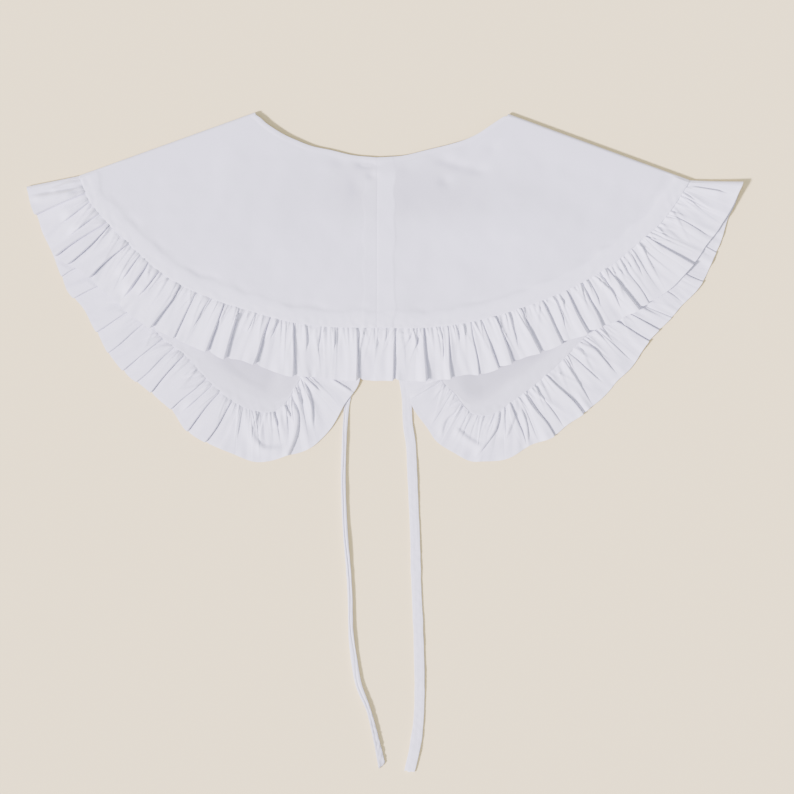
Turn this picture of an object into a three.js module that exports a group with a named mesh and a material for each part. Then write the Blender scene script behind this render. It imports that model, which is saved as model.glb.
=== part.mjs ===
import * as THREE from "three";

// A detachable ruffled collar of white cotton, lying flat and folded over along its shoulders.
// The back panel is on top, the two fronts lie under it with their inner side up, one gathered
// ruffle runs all the way round the outer edge, and two fabric ties come out between the fronts.
// Millimetres: +X to the right, +Y towards the neck, +Z up from the surface it lies on.

// Body of the collar, measured from the two neck corners, where the shoulders fold
const NECK_WIDTH = 177; // between the neck corners
const NECK_DROP = 31; // back neckline below the neck corners
const BACK_LENGTH = 119; // back neckline to ruffle seam, at the centre back
const BODY_WIDTH = 426; // between the shoulder ends of the ruffle seam
const SHOULDER_DROP = 45; // shoulder ends of the seam below the neck corners
const FRONT_LENGTH = 210; // lowest point of the fronts' seam below the neck corners
const FRONT_NECK_DROP = 88; // ends of the front neckline below the neck corners
const BODY_WALL = 1.2; // two layers of cotton with their seam allowances

// Ruffle
const RUFFLE_DEPTH = 36; // seam to hem
const RUFFLE_WALL = 1.4; // one layer of cotton with its narrow hem
const BACK_RISE = 1.8; // height of the strongest folds on the back
const FRONT_RISE = 1.4; // height of the strongest folds on the fronts, pressed by the back
const SEAM_STEP = 1; // width of a fold's step at the seam
const HEM_STEP = 2.2; // width of a fold's step at the hem

// Ties
const TIE_WIDTH = 7; // right tie, lying flat
const TIE_WALL = 1.2;
const FOLDED_TIE_WIDTH = 4.4; // left tie, creased lengthwise
const FOLDED_TIE_WALL = 1.6;
const TIE_BEVEL = 0.3; // corner of a tie's section
const TIE_STEPS = 56;

// Clearances
const SEAM_GAP = 0.4; // between pieces that are sewn edge to edge
const LAYER_GAP = 0.3; // between layers that lie on each other
const TIE_GAP = 0.3; // between a tie's end and the front that it is sewn to

// Soft hollows of the back panel
const HOLLOW = 0.8; // depth of the deepest

// Fineness of the solids
const BACK_STEPS = 16;
const NECKLINE_STEPS = 14;
const EDGE_STEPS = 10;
const BODY_ROWS = [0, 0.12, 0.28, 0.46, 0.64, 0.82, 1];
const FOLD_ANGLES = [60, 30, 0, -30, -60]; // degrees round a shoulder fold
const SLOPE_STEP = 8; // longest piece of seam between two of the ruffle's stations
const LENGTH_STEPS = 400; // pieces in which a curve's length is measured

const NECK_HALF = NECK_WIDTH / 2;
const BODY_HALF = BODY_WIDTH / 2;
const TIE_LIFT = FOLDED_TIE_WALL + LAYER_GAP;
const BACK_LIFT = RUFFLE_WALL + Math.max(FRONT_RISE, TIE_LIFT) + LAYER_GAP;
const SHOULDER_RADIUS = BACK_LIFT / 2;
const TIE_ROOM = TIE_WIDTH + 2 * TIE_GAP; // seam left free for the tie's sewn end
const HEM_ROOM = 1.6 * TIE_ROOM; // the same along the hem, where the tie bends away

// Sections of each half's back panel, from the centre back to the shoulder fold.
// neck, neckDown: shares of half the neck's width and of its drop.
// seam, seamDown: shares of half the body's width and of the way down from the shoulder end.
// lean, deep: the ruffle's direction in degrees from straight down, and share of its depth.
const BACK_SECTIONS = {
  left: [
    { neck: 0, neckDown: 1, seam: 0, seamDown: 1, lean: 3, deep: 1.01 },
    { neck: 0.19, neckDown: 0.95, seam: 0.145, seamDown: 0.995, lean: 1, deep: 1.02 },
    { neck: 0.365, neckDown: 0.835, seam: 0.276, seamDown: 0.965, lean: 2, deep: 1.01 },
    { neck: 0.515, neckDown: 0.745, seam: 0.4, seamDown: 0.898, lean: 20, deep: 0.99 },
    { neck: 0.64, neckDown: 0.61, seam: 0.552, seamDown: 0.798, lean: 26, deep: 0.99 },
    { neck: 0.735, neckDown: 0.485, seam: 0.693, seamDown: 0.655, lean: 40, deep: 1 },
    { neck: 0.815, neckDown: 0.35, seam: 0.822, seamDown: 0.425, lean: 51, deep: 1.01 },
    { neck: 0.878, neckDown: 0.225, seam: 0.897, seamDown: 0.271, lean: 53, deep: 1.16 },
    { neck: 0.925, neckDown: 0.105, seam: 0.946, seamDown: 0.145, lean: 62, deep: 1.06 },
    { neck: 0.965, neckDown: -0.02, seam: 0.976, seamDown: -0.015, lean: 78, deep: 1.05 },
  ],
  right: [
    { neck: 0, neckDown: 1, seam: 0, seamDown: 1, lean: -3, deep: 1.01 },
    { neck: 0.2, neckDown: 0.96, seam: 0.151, seamDown: 1, lean: 2, deep: 1.02 },
    { neck: 0.388, neckDown: 0.835, seam: 0.309, seamDown: 0.961, lean: 10, deep: 1.01 },
    { neck: 0.554, neckDown: 0.723, seam: 0.473, seamDown: 0.868, lean: 22, deep: 0.93 },
    { neck: 0.688, neckDown: 0.61, seam: 0.624, seamDown: 0.748, lean: 25, deep: 0.91 },
    { neck: 0.8, neckDown: 0.463, seam: 0.756, seamDown: 0.598, lean: 40, deep: 1.01 },
    { neck: 0.886, neckDown: 0.3, seam: 0.854, seamDown: 0.438, lean: 44, deep: 1.07 },
    { neck: 0.957, neckDown: 0.165, seam: 0.937, seamDown: 0.285, lean: 59, deep: 0.98 },
    { neck: 1, neckDown: 0.09, seam: 0.992, seamDown: 0.131, lean: 72, deep: 1.02 },
    { neck: 1.036, neckDown: 0.01, seam: 1.025, seamDown: 0.015, lean: 86, deep: 1.03 },
  ],
};

// Sections of each front, from the shoulder fold along the seam to the round lower corner.
// seam, seamDown: shares of half the body's width and of the front's length.
// turn: degrees along the quarter ellipse of the front neckline, which ends after eight rows;
// from there on a section starts on the front edge instead.
const FRONT_SECTIONS = {
  left: [
    { turn: 0, seam: 0.976, seamDown: 0.207, lean: 78, deep: 1.05 },
    { turn: 5, seam: 0.966, seamDown: 0.287, lean: 82, deep: 0.96 },
    { turn: 15, seam: 0.937, seamDown: 0.37, lean: 79, deep: 0.95 },
    { turn: 27, seam: 0.897, seamDown: 0.453, lean: 75, deep: 0.97 },
    { turn: 40, seam: 0.848, seamDown: 0.537, lean: 67, deep: 0.99 },
    { turn: 54, seam: 0.782, seamDown: 0.637, lean: 61, deep: 0.97 },
    { turn: 70, seam: 0.71, seamDown: 0.743, lean: 53, deep: 1 },
    { turn: 90, seam: 0.628, seamDown: 0.807, lean: 47, deep: 0.99 },
    { seam: 0.572, seamDown: 0.87, lean: 46, deep: 0.92 },
    { seam: 0.519, seamDown: 0.923, lean: 39, deep: 0.98 },
    { seam: 0.473, seamDown: 0.96, lean: 35, deep: 0.95 },
    { seam: 0.427, seamDown: 0.983, lean: 18, deep: 0.92 },
    { seam: 0.391, seamDown: 0.993, lean: 6, deep: 0.96 },
    { seam: 0.362, seamDown: 0.997, lean: -6, deep: 0.92 },
    { seam: 0.332, seamDown: 0.99, lean: -12, deep: 0.92 },
  ],
  right: [
    { turn: 0, seam: 1.025, seamDown: 0.222, lean: 86, deep: 1.03 },
    { turn: 5, seam: 1.015, seamDown: 0.297, lean: 80, deep: 0.91 },
    { turn: 15, seam: 0.986, seamDown: 0.38, lean: 80, deep: 0.89 },
    { turn: 27, seam: 0.937, seamDown: 0.467, lean: 60, deep: 0.94 },
    { turn: 40, seam: 0.871, seamDown: 0.553, lean: 61, deep: 0.93 },
    { turn: 54, seam: 0.789, seamDown: 0.64, lean: 60, deep: 0.94 },
    { turn: 70, seam: 0.69, seamDown: 0.737, lean: 55, deep: 1.05 },
    { turn: 90, seam: 0.592, seamDown: 0.837, lean: 50, deep: 1.09 },
    { seam: 0.536, seamDown: 0.887, lean: 44, deep: 1.03 },
    { seam: 0.483, seamDown: 0.93, lean: 34, deep: 1.01 },
    { seam: 0.437, seamDown: 0.963, lean: 21, deep: 0.92 },
    { seam: 0.401, seamDown: 0.99, lean: 7, deep: 0.92 },
    { seam: 0.371, seamDown: 1.003, lean: -2, deep: 0.9 },
    { seam: 0.345, seamDown: 1.007, lean: -15, deep: 0.89 },
    { seam: 0.315, seamDown: 1, lean: -24, deep: 0.85 },
  ],
};

// Sections of each front edge, from the end of the neckline down to the round lower corner.
// edge: share of half the body's width; edgeDown: share of the way from the neckline's end to
// the lowest point; lift: 1 where the ruffle lies on a tie.
const EDGE_SECTIONS = {
  left: [
    { edge: 0.135, edgeDown: 0, lean: -72, deep: 0.3, lift: 0 },
    { edge: 0.148, edgeDown: 0.128, lean: -75, deep: 0.52, lift: 0 },
    { edge: 0.161, edgeDown: 0.289, lean: -74, deep: 0.74, lift: 0 },
    { edge: 0.181, edgeDown: 0.461, lean: -65, deep: 0.92, lift: 1 },
    { edge: 0.214, edgeDown: 0.633, lean: -57, deep: 1.09, lift: 1 },
    { edge: 0.25, edgeDown: 0.788, lean: -58, deep: 1.01, lift: 1 },
    { edge: 0.27, edgeDown: 0.851, lean: -40, deep: 1.06, lift: 0.5 },
    { edge: 0.293, edgeDown: 0.92, lean: -27, deep: 1, lift: 0 },
  ],
  right: [
    { edge: 0.148, edgeDown: 0, lean: -73, deep: 0.3, lift: 0 },
    { edge: 0.161, edgeDown: 0.162, lean: -83, deep: 0.52, lift: 0 },
    { edge: 0.174, edgeDown: 0.346, lean: -87, deep: 0.7, lift: 0 },
    { edge: 0.187, edgeDown: 0.53, lean: -81, deep: 0.78, lift: 0.5 },
    { edge: 0.197, edgeDown: 0.69, lean: -53, deep: 0.75, lift: 1 },
    { edge: 0.21, edgeDown: 0.811, lean: -49, deep: 0.74, lift: 1 },
    { edge: 0.246, edgeDown: 0.868, lean: -37, deep: 0.87, lift: 0.5 },
    { edge: 0.283, edgeDown: 0.954, lean: -31, deep: 0.84, lift: 0 },
  ],
};

// Main folds of the ruffle. seam, hem: shares of the way along the seam and along the hem, from
// the centre back to the shoulder; rise: share of the height of the strongest fold.
const BACK_FOLDS = {
  left: [
    { seam: 0.06, hem: 0.045, rise: 1 },
    { seam: 0.12, hem: 0.1, rise: 0.5 },
    { seam: 0.2, hem: 0.155, rise: 0.5 },
    { seam: 0.24, hem: 0.2, rise: 0.8 },
    { seam: 0.3, hem: 0.29, rise: 1 },
    { seam: 0.35, hem: 0.335, rise: 0.5 },
    { seam: 0.4, hem: 0.365, rise: 1 },
    { seam: 0.445, hem: 0.41, rise: 1 },
    { seam: 0.5, hem: 0.475, rise: 0.5 },
    { seam: 0.58, hem: 0.55, rise: 1 },
    { seam: 0.65, hem: 0.62, rise: 0.5 },
    { seam: 0.69, hem: 0.645, rise: 1 },
    { seam: 0.765, hem: 0.735, rise: 0.8 },
    { seam: 0.845, hem: 0.8, rise: 0.8 },
    { seam: 0.93, hem: 0.885, rise: 0.4 },
  ],
  right: [
    { seam: 0.05, hem: 0.04, rise: 0.7 },
    { seam: 0.127, hem: 0.115, rise: 1 },
    { seam: 0.195, hem: 0.17, rise: 0.8 },
    { seam: 0.255, hem: 0.235, rise: 0.5 },
    { seam: 0.29, hem: 0.28, rise: 0.6 },
    { seam: 0.33, hem: 0.315, rise: 1 },
    { seam: 0.4, hem: 0.38, rise: 1 },
    { seam: 0.465, hem: 0.435, rise: 0.8 },
    { seam: 0.54, hem: 0.5, rise: 1 },
    { seam: 0.59, hem: 0.535, rise: 0.8 },
    { seam: 0.665, hem: 0.625, rise: 1 },
    { seam: 0.745, hem: 0.68, rise: 0.5 },
    { seam: 0.805, hem: 0.785, rise: 0.8 },
    { seam: 0.895, hem: 0.865, rise: 0.4 },
    { seam: 0.955, hem: 0.93, rise: 0.3 },
  ],
};

// The same for the fronts, from the shoulder round the lower corner to the neckline's end.
const FRONT_FOLDS = {
  left: [
    { seam: 0.155, hem: 0.14, rise: 0.4 },
    { seam: 0.21, hem: 0.18, rise: 0.5 },
    { seam: 0.28, hem: 0.245, rise: 0.6 },
    { seam: 0.36, hem: 0.315, rise: 0.8 },
    { seam: 0.41, hem: 0.37, rise: 0.8 },
    { seam: 0.475, hem: 0.41, rise: 0.8 },
    { seam: 0.515, hem: 0.455, rise: 0.8 },
    { seam: 0.54, hem: 0.485, rise: 0.8 },
    { seam: 0.6, hem: 0.575, rise: 0.5 },
    { seam: 0.677, hem: 0.623, rise: 1 },
    { seam: 0.716, hem: 0.675, rise: 0.8 },
    { seam: 0.755, hem: 0.77, rise: 0.6 },
    { seam: 0.84, hem: 0.86, rise: 0.3 },
    { seam: 0.91, hem: 0.93, rise: 0.3 },
  ],
  right: [
    { seam: 0.1, hem: 0.11, rise: 0.4 },
    { seam: 0.15, hem: 0.155, rise: 0.5 },
    { seam: 0.21, hem: 0.2, rise: 0.5 },
    { seam: 0.284, hem: 0.257, rise: 0.8 },
    { seam: 0.307, hem: 0.28, rise: 0.8 },
    { seam: 0.372, hem: 0.35, rise: 0.8 },
    { seam: 0.41, hem: 0.372, rise: 0.8 },
    { seam: 0.47, hem: 0.43, rise: 1 },
    { seam: 0.52, hem: 0.486, rise: 0.8 },
    { seam: 0.557, hem: 0.53, rise: 0.8 },
    { seam: 0.59, hem: 0.6, rise: 0.6 },
    { seam: 0.663, hem: 0.678, rise: 0.5 },
    { seam: 0.727, hem: 0.755, rise: 0.8 },
    { seam: 0.8, hem: 0.84, rise: 0.3 },
    { seam: 0.88, hem: 0.92, rise: 0.3 },
  ],
};

// Soft hollows of the back panel. across, wide: shares of half the body's width;
// down, long: shares of the back's length below the neck corners; deep: share of the deepest.
const HOLLOWS = [
  { across: 0.02, down: 0.42, wide: 0.2, long: 0.2, deep: 1 },
  { across: 0.28, down: 0.36, wide: 0.14, long: 0.12, deep: 0.6 },
  { across: -0.25, down: 0.5, wide: 0.16, long: 0.16, deep: 0.5 },
  { across: -0.58, down: 0.62, wide: 0.14, long: 0.2, deep: -0.3 },
  { across: 0.6, down: 0.66, wide: 0.16, long: 0.2, deep: -0.3 },
  { across: 0.3, down: 0.95, wide: 0.2, long: 0.14, deep: 0.35 },
];

// How far the ruffle's folds have risen at each share of the way from the seam to the hem
const RUFFLE_ROWS = [
  { across: 0, risen: 0, lifted: 0 },
  { across: 0.18, risen: 0.35, lifted: 0.2 },
  { across: 0.45, risen: 0.8, lifted: 1 },
  { across: 0.75, risen: 0.95, lifted: 1 },
  { across: 1, risen: 1, lifted: 1 },
];

// Routes of the ties' centre lines, from the end of each front's neckline, in millimetres from
// the centre back and from the neck corners.
const TIE_ROUTES = {
  left: [
    [-27.6, -92.7], [-22.4, -93.1], [-16.8, -95.2], [-11.2, -99.4], [-7, -105.3], [-4.2, -113.4],
    [-3.1, -123.2], [-2.8, -137.2], [-3.5, -151.2], [-5.2, -163.1], [-8.7, -173.6], [-14, -183.4],
    [-18.2, -191.8], [-20.8, -201.6], [-22.2, -215.6], [-23.1, -231.7], [-23.7, -252.7],
    [-23.1, -275.8], [-21.7, -298.2], [-20, -317.1], [-18.9, -334.6], [-18.2, -364.7],
    [-15.8, -383.6], [-12.6, -399.7], [-5.6, -417.9], [-2.1, -431.2], [0.7, -443.8], [3.2, -456],
  ],
  right: [
    [30.5, -92.7], [25, -93.6], [19, -96], [13.8, -100.5], [9.4, -107], [6.6, -115],
    [5.2, -124.5], [4.9, -137.2], [5.9, -151.2], [8.8, -166], [12.9, -181], [16.4, -192],
    [19, -201.5], [21.3, -217.7], [23.8, -231.7], [24.9, -252.7], [26.3, -290], [27.3, -322],
    [28.7, -357.7], [29.8, -399], [29.1, -424.2], [26.6, -443.1], [22.8, -459.9],
  ],
};

const COTTON = { color: 0xdddde2, roughness: 0.92, metalness: 0 };

const radians = THREE.MathUtils.degToRad;
const mix = THREE.MathUtils.lerp;

/** A point of the plan, from the centre back and the level of the neck corners. */
function plan(across, down) {
  return new THREE.Vector3(across, -down, 0);
}

/** The hem's place for a point of the seam: the ruffle's depth along its lean. */
function hemOf(point, sign, row) {
  const lean = radians(row.lean);
  const reach = RUFFLE_DEPTH * row.deep;
  return plan(point.x + sign * reach * Math.sin(lean), -point.y + reach * Math.cos(lean));
}

/** The outlines of one half: neckline, front edge, seams and hems, as points of the plan. */
function outlinesOf(side) {
  const sign = side === "left" ? -1 : 1;
  const back = BACK_SECTIONS[side];
  const front = FRONT_SECTIONS[side];
  const edges = EDGE_SECTIONS[side];
  const seamBelow = NECK_DROP + BACK_LENGTH - SHOULDER_DROP;

  const backNeck = back.map((row) => plan(sign * NECK_HALF * row.neck, NECK_DROP * row.neckDown));
  const backSeam = back.map((row) => {
    return plan(sign * BODY_HALF * row.seam, SHOULDER_DROP + seamBelow * row.seamDown);
  });
  const backHem = backSeam.map((point, i) => hemOf(point, sign, back[i]));

  const edge = edges.map((row) => {
    const down = mix(FRONT_NECK_DROP, FRONT_LENGTH, row.edgeDown);
    return plan(sign * BODY_HALF * row.edge, down);
  });
  const corner = backNeck.at(-1);
  const end = edge[0];
  const neckline = front.filter((row) => row.turn !== undefined).map((row) => {
    const turn = radians(row.turn);
    return plan(mix(end.x, corner.x, Math.cos(turn)), -mix(corner.y, end.y, Math.sin(turn)));
  });

  const shoulderSeam = backSeam.at(-1);
  const outer = front.map((row, i) => {
    const point = plan(sign * BODY_HALF * row.seam, FRONT_LENGTH * row.seamDown);
    return i === 0 ? shoulderSeam.clone() : point;
  });
  const frontSeam = [...outer, ...edge.toReversed()];
  const hemRows = [...front, ...edges.toReversed()];
  const frontHem = frontSeam.map((point, i) => hemOf(point, sign, hemRows[i]));
  frontHem[0].copy(backHem.at(-1));

  const along = shoulderSeam.clone().sub(corner).normalize();
  const outward = new THREE.Vector3(-sign * along.y, sign * along.x, 0);
  return { sign, backNeck, backSeam, backHem, neckline, edge, frontSeam, frontHem, outward };
}

/** Moves the last or first point of a boundary in from the shoulder by the fold's own reach. */
function insetAtShoulder(points, index, outward, wall) {
  const moved = points.map((point) => point.clone());
  moved.at(index).addScaledVector(outward, -(SHOULDER_RADIUS + wall / 2));
  return moved;
}

function smooth(points) {
  return new THREE.CatmullRomCurve3(points, false, "centripetal");
}

/** How deep the soft hollows are at a point of the back panel. */
function hollowAt(point) {
  const fullDown = NECK_DROP + BACK_LENGTH;
  return HOLLOWS.reduce((sum, row) => {
    const x = (point.x - BODY_HALF * row.across) / (BODY_HALF * row.wide);
    const y = (-point.y - fullDown * row.down) / (fullDown * row.long);
    return sum + HOLLOW * row.deep * Math.exp(-x * x - y * y);
  }, 0);
}

/**
 * One column of a folded sheet: for each row of the plan line it gives the wall's two sides.
 * angle is 90 on the back layer, -90 on the front layer and between them round the shoulder,
 * where the sheet's middle follows a half circle between the two layers.
 */
function columnOf(line, angle, wall, outward, heightAt) {
  const turn = radians(angle);
  const middle = SHOULDER_RADIUS + wall / 2;
  const side = outward.clone().multiplyScalar(Math.cos(turn));
  side.z = Math.sin(turn);
  return line.map(({ point, across }) => {
    const centre = point.clone();
    centre.addScaledVector(outward, SHOULDER_RADIUS * Math.cos(turn));
    centre.z = middle + SHOULDER_RADIUS * Math.sin(turn) + heightAt(point, across);
    return {
      outer: centre.clone().addScaledVector(side, wall / 2),
      inner: centre.clone().addScaledVector(side, -wall / 2),
    };
  });
}

/** A closed solid from columns of wall sides: both faces of the sheet and its four edges. */
function sheetSolid(columns) {
  const rows = columns[0].length;
  const positions = columns.flatMap((column) => {
    return column.flatMap(({ outer, inner }) => [...outer.toArray(), ...inner.toArray()]);
  });
  const outer = (i, j) => 2 * (i * rows + j);
  const inner = (i, j) => outer(i, j) + 1;
  const faces = [];
  const quad = (a, b, c, d) => faces.push(a, b, c, a, c, d);
  const lastColumn = columns.length - 1;
  const lastRow = rows - 1;
  for (let i = 0; i < lastColumn; i += 1) {
    for (let j = 0; j < lastRow; j += 1) {
      quad(outer(i, j), outer(i + 1, j), outer(i + 1, j + 1), outer(i, j + 1));
      quad(inner(i, j), inner(i, j + 1), inner(i + 1, j + 1), inner(i + 1, j));
    }
    quad(outer(i, 0), inner(i, 0), inner(i + 1, 0), outer(i + 1, 0));
    quad(outer(i, lastRow), outer(i + 1, lastRow), inner(i + 1, lastRow), inner(i, lastRow));
  }
  for (let j = 0; j < lastRow; j += 1) {
    quad(outer(0, j), outer(0, j + 1), inner(0, j + 1), inner(0, j));
    quad(outer(lastColumn, j), inner(lastColumn, j), inner(lastColumn, j + 1), outer(lastColumn, j + 1));
  }
  const geometry = new THREE.BufferGeometry();
  geometry.setAttribute("position", new THREE.Float32BufferAttribute(positions, 3));
  geometry.setIndex(facingOut(positions, faces));
  geometry.computeVertexNormals();
  return geometry;
}

/** The faces as they are, or turned round if they enclose a negative volume. */
function facingOut(positions, faces) {
  const corner = (index) => new THREE.Vector3().fromArray(positions, 3 * index);
  let volume = 0;
  for (let k = 0; k < faces.length; k += 3) {
    const [a, b, c] = [corner(faces[k]), corner(faces[k + 1]), corner(faces[k + 2])];
    volume += a.dot(b.cross(c));
  }
  return volume > 0 ? faces : faces.toReversed();
}

/** The share of a curve's length at a share of its rows. */
function lengthShare(curve, rowShare) {
  const lengths = curve.getLengths(LENGTH_STEPS);
  const place = rowShare * LENGTH_STEPS;
  const low = Math.min(Math.floor(place), LENGTH_STEPS - 1);
  return mix(lengths[low], lengths[low + 1], place - low) / lengths[LENGTH_STEPS];
}

/** The point at a share of a curve's length, on the straight lines between its stations. */
function onStations(curve, stations, share) {
  const next = stations.findIndex((station) => station.seam >= share);
  if (next < 1) {
    return curve.getPointAt(THREE.MathUtils.clamp(share, 0, 1));
  }
  const [a, b] = [stations[next - 1], stations[next]];
  const way = (share - a.seam) / (b.seam - a.seam);
  return curve.getPointAt(a.seam).lerp(curve.getPointAt(b.seam), way);
}

/** The lift column of the front edge's table at an index along the front seam's rows. */
function liftAt(side, index) {
  const edges = EDGE_SECTIONS[side];
  const place = FRONT_SECTIONS[side].length + edges.length - 1 - index;
  const low = Math.floor(THREE.MathUtils.clamp(place, 0, edges.length - 1));
  const high = Math.min(low + 1, edges.length - 1);
  return place > edges.length - 1 ? 0 : mix(edges[low].lift, edges[high].lift, place - low);
}

/**
 * Stations of the ruffle along one stretch, from its table of folds and its two end marks. Each
 * fold has a high and a low station a step apart, with a slope from each fold to the next.
 */
function stationsOf(start, folds, end, seamLength, hemLength, highFirst) {
  const seamStep = SEAM_STEP / seamLength / 2;
  const hemStep = HEM_STEP / hemLength / 2;
  const marks = [start, ...folds, end];
  const stations = [];
  marks.forEach((mark, i) => {
    const isEnd = i === 0 || i === marks.length - 1;
    if (isEnd) {
      stations.push(mark);
    } else {
      const high = highFirst ? -1 : 1;
      const steps = [-1, 1].map((way) => ({
        seam: mark.seam + way * seamStep,
        hem: mark.hem + way * hemStep,
        rise: way === high ? mark.rise : 0,
      }));
      stations.push(...steps);
    }
    const next = marks[i + 1];
    if (next) {
      const count = Math.ceil(((next.seam - mark.seam) * seamLength) / SLOPE_STEP);
      for (let k = 1; k < Math.max(count, 2); k += 1) {
        const way = k / Math.max(count, 2);
        const rise = highFirst ? next.rise * way ** 1.5 : mark.rise * (1 - way) ** 1.5;
        stations.push({ seam: mix(mark.seam, next.seam, way), hem: mix(mark.hem, next.hem, way), rise });
      }
    }
  });
  return stations;
}

/** The seam and hem curves of one half, back and front, with the ruffle's stations on them. */
function stretchesOf(side) {
  const lines = outlinesOf(side);
  const { outward, sign } = lines;
  const last = lines.backSeam.length - 1;
  const inset = (points, index) => smooth(insetAtShoulder(points, index, outward, BODY_WALL));
  const back = { seam: inset(lines.backSeam, last), hem: inset(lines.backHem, last) };
  const front = { seam: inset(lines.frontSeam, 0), hem: inset(lines.frontHem, 0) };
  const [backLength, backHemLength] = [back.seam.getLength(), back.hem.getLength()];
  const [frontLength, frontHemLength] = [front.seam.getLength(), front.hem.getLength()];
  back.stations = stationsOf(
    { seam: 0, hem: 0, rise: 0.2 },
    BACK_FOLDS[side],
    { seam: 1, hem: 1, rise: 0 },
    backLength,
    backHemLength,
    sign > 0,
  );
  front.stations = stationsOf(
    { seam: 0, hem: 0, rise: 0 },
    FRONT_FOLDS[side],
    { seam: 1 - TIE_ROOM / frontLength, hem: 1 - HEM_ROOM / frontHemLength, rise: 0.2 },
    frontLength,
    frontHemLength,
    sign < 0,
  );
  return { lines, back, front };
}

/** One half of the body: back panel, shoulder fold and front panel as one bent sheet. */
function bodyHalf(side) {
  const { lines, back, front } = stretchesOf(side);
  const { outward } = lines;
  const neck = smooth(insetAtShoulder(lines.backNeck, lines.backNeck.length - 1, outward, BODY_WALL));
  const frontNeck = smooth(insetAtShoulder(lines.neckline, 0, outward, BODY_WALL));
  const backSeamAt = (share) => onStations(back.seam, back.stations, lengthShare(back.seam, share));
  const frontSeamAt = (share) => onStations(front.seam, front.stations, lengthShare(front.seam, share));

  const lineBetween = (from, to) => {
    return BODY_ROWS.map((across) => ({ point: from.clone().lerp(to, across), across }));
  };
  const sunk = (point) => -hollowAt(point);
  const flat = () => 0;
  const columns = [];
  for (let i = 0; i <= BACK_STEPS; i += 1) {
    const share = i / BACK_STEPS;
    const line = lineBetween(neck.getPoint(share), backSeamAt(share));
    if (i === 0) {
      line.forEach(({ point }) => point.setX((lines.sign * SEAM_GAP) / 2));
    }
    columns.push(columnOf(line, 90, BODY_WALL, outward, sunk));
  }
  const shoulder = lineBetween(neck.getPoint(1), back.seam.getPoint(1));
  for (const angle of FOLD_ANGLES) {
    columns.push(columnOf(shoulder, angle, BODY_WALL, outward, flat));
  }
  const neckRows = lines.neckline.length - 1;
  const seamRows = lines.frontSeam.length - 1;
  for (let i = 0; i <= NECKLINE_STEPS; i += 1) {
    const share = i / NECKLINE_STEPS;
    const line = lineBetween(frontNeck.getPoint(share), frontSeamAt((share * neckRows) / seamRows));
    columns.push(columnOf(line, -90, BODY_WALL, outward, flat));
  }
  const edgeRows = lines.edge.length - 1;
  for (let i = 1; i <= EDGE_STEPS; i += 1) {
    const row = (i / EDGE_STEPS) * edgeRows;
    const line = lineBetween(
      frontSeamAt((seamRows - row) / seamRows),
      frontSeamAt((neckRows + row) / seamRows),
    );
    columns.push(columnOf(line, -90, BODY_WALL, outward, flat));
  }
  return sheetSolid(columns);
}

/** The ruffle's columns for one half, from the centre back to the end of the front neckline. */
function ruffleHalf(side) {
  const { lines, back, front } = stretchesOf(side);
  const { outward } = lines;
  const columns = [];
  const addColumn = (from, to, angle, heightAt) => {
    const start = from.clone().addScaledVector(to.clone().sub(from).normalize(), SEAM_GAP);
    const line = RUFFLE_ROWS.map(({ across }) => ({ point: start.clone().lerp(to, across), across }));
    columns.push(columnOf(line, angle, RUFFLE_WALL, outward, heightAt));
  };
  const rowAt = (across) => RUFFLE_ROWS.find((row) => row.across === across);

  for (const { seam, hem, rise } of back.stations) {
    addColumn(back.seam.getPointAt(seam), back.hem.getPointAt(hem), 90, (point, across) => {
      return BACK_RISE * rise * rowAt(across).risen;
    });
  }
  for (const angle of FOLD_ANGLES) {
    addColumn(back.seam.getPointAt(1), back.hem.getPointAt(1), angle, () => 0);
  }
  const seamRows = lines.frontSeam.length - 1;
  for (const { seam, hem, rise } of front.stations) {
    const lift = liftAt(side, front.hem.getUtoTmapping(hem) * seamRows);
    addColumn(front.seam.getPointAt(seam), front.hem.getPointAt(hem), -90, (point, across) => {
      const { risen, lifted } = rowAt(across);
      return mix(FRONT_RISE * rise * risen, TIE_LIFT * lifted, lift);
    });
  }
  return columns;
}

/** The whole ruffle: the left half from its front to the centre back, then the right half. */
function ruffleSolid() {
  const left = ruffleHalf("left").toReversed();
  const right = ruffleHalf("right").slice(1);
  return sheetSolid([...left, ...right]);
}

/** A flat tie: a strip with bevelled corners carried along its route on the surface. */
function tieSolid(route, width, wall) {
  const points = route.map(([x, y]) => new THREE.Vector3(x, y, wall / 2));
  const [halfWall, halfWidth] = [wall / 2, width / 2];
  const section = new THREE.Shape();
  section.moveTo(-halfWall, -halfWidth + TIE_BEVEL);
  section.lineTo(-halfWall + TIE_BEVEL, -halfWidth);
  section.lineTo(halfWall - TIE_BEVEL, -halfWidth);
  section.lineTo(halfWall, -halfWidth + TIE_BEVEL);
  section.lineTo(halfWall, halfWidth - TIE_BEVEL);
  section.lineTo(halfWall - TIE_BEVEL, halfWidth);
  section.lineTo(-halfWall + TIE_BEVEL, halfWidth);
  section.lineTo(-halfWall, halfWidth - TIE_BEVEL);
  section.closePath();
  return new THREE.ExtrudeGeometry(section, {
    steps: TIE_STEPS,
    bevelEnabled: false,
    extrudePath: smooth(points),
  });
}

function addPiece(group, name, geometry) {
  const piece = new THREE.Mesh(geometry, new THREE.MeshStandardMaterial(COTTON));
  piece.name = name;
  group.add(piece);
  return piece;
}

const collar = new THREE.Group();
const cloth = new THREE.Group();
addPiece(cloth, "body_left", bodyHalf("left"));
addPiece(cloth, "body_right", bodyHalf("right"));
addPiece(cloth, "ruffle", ruffleSolid());

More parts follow.
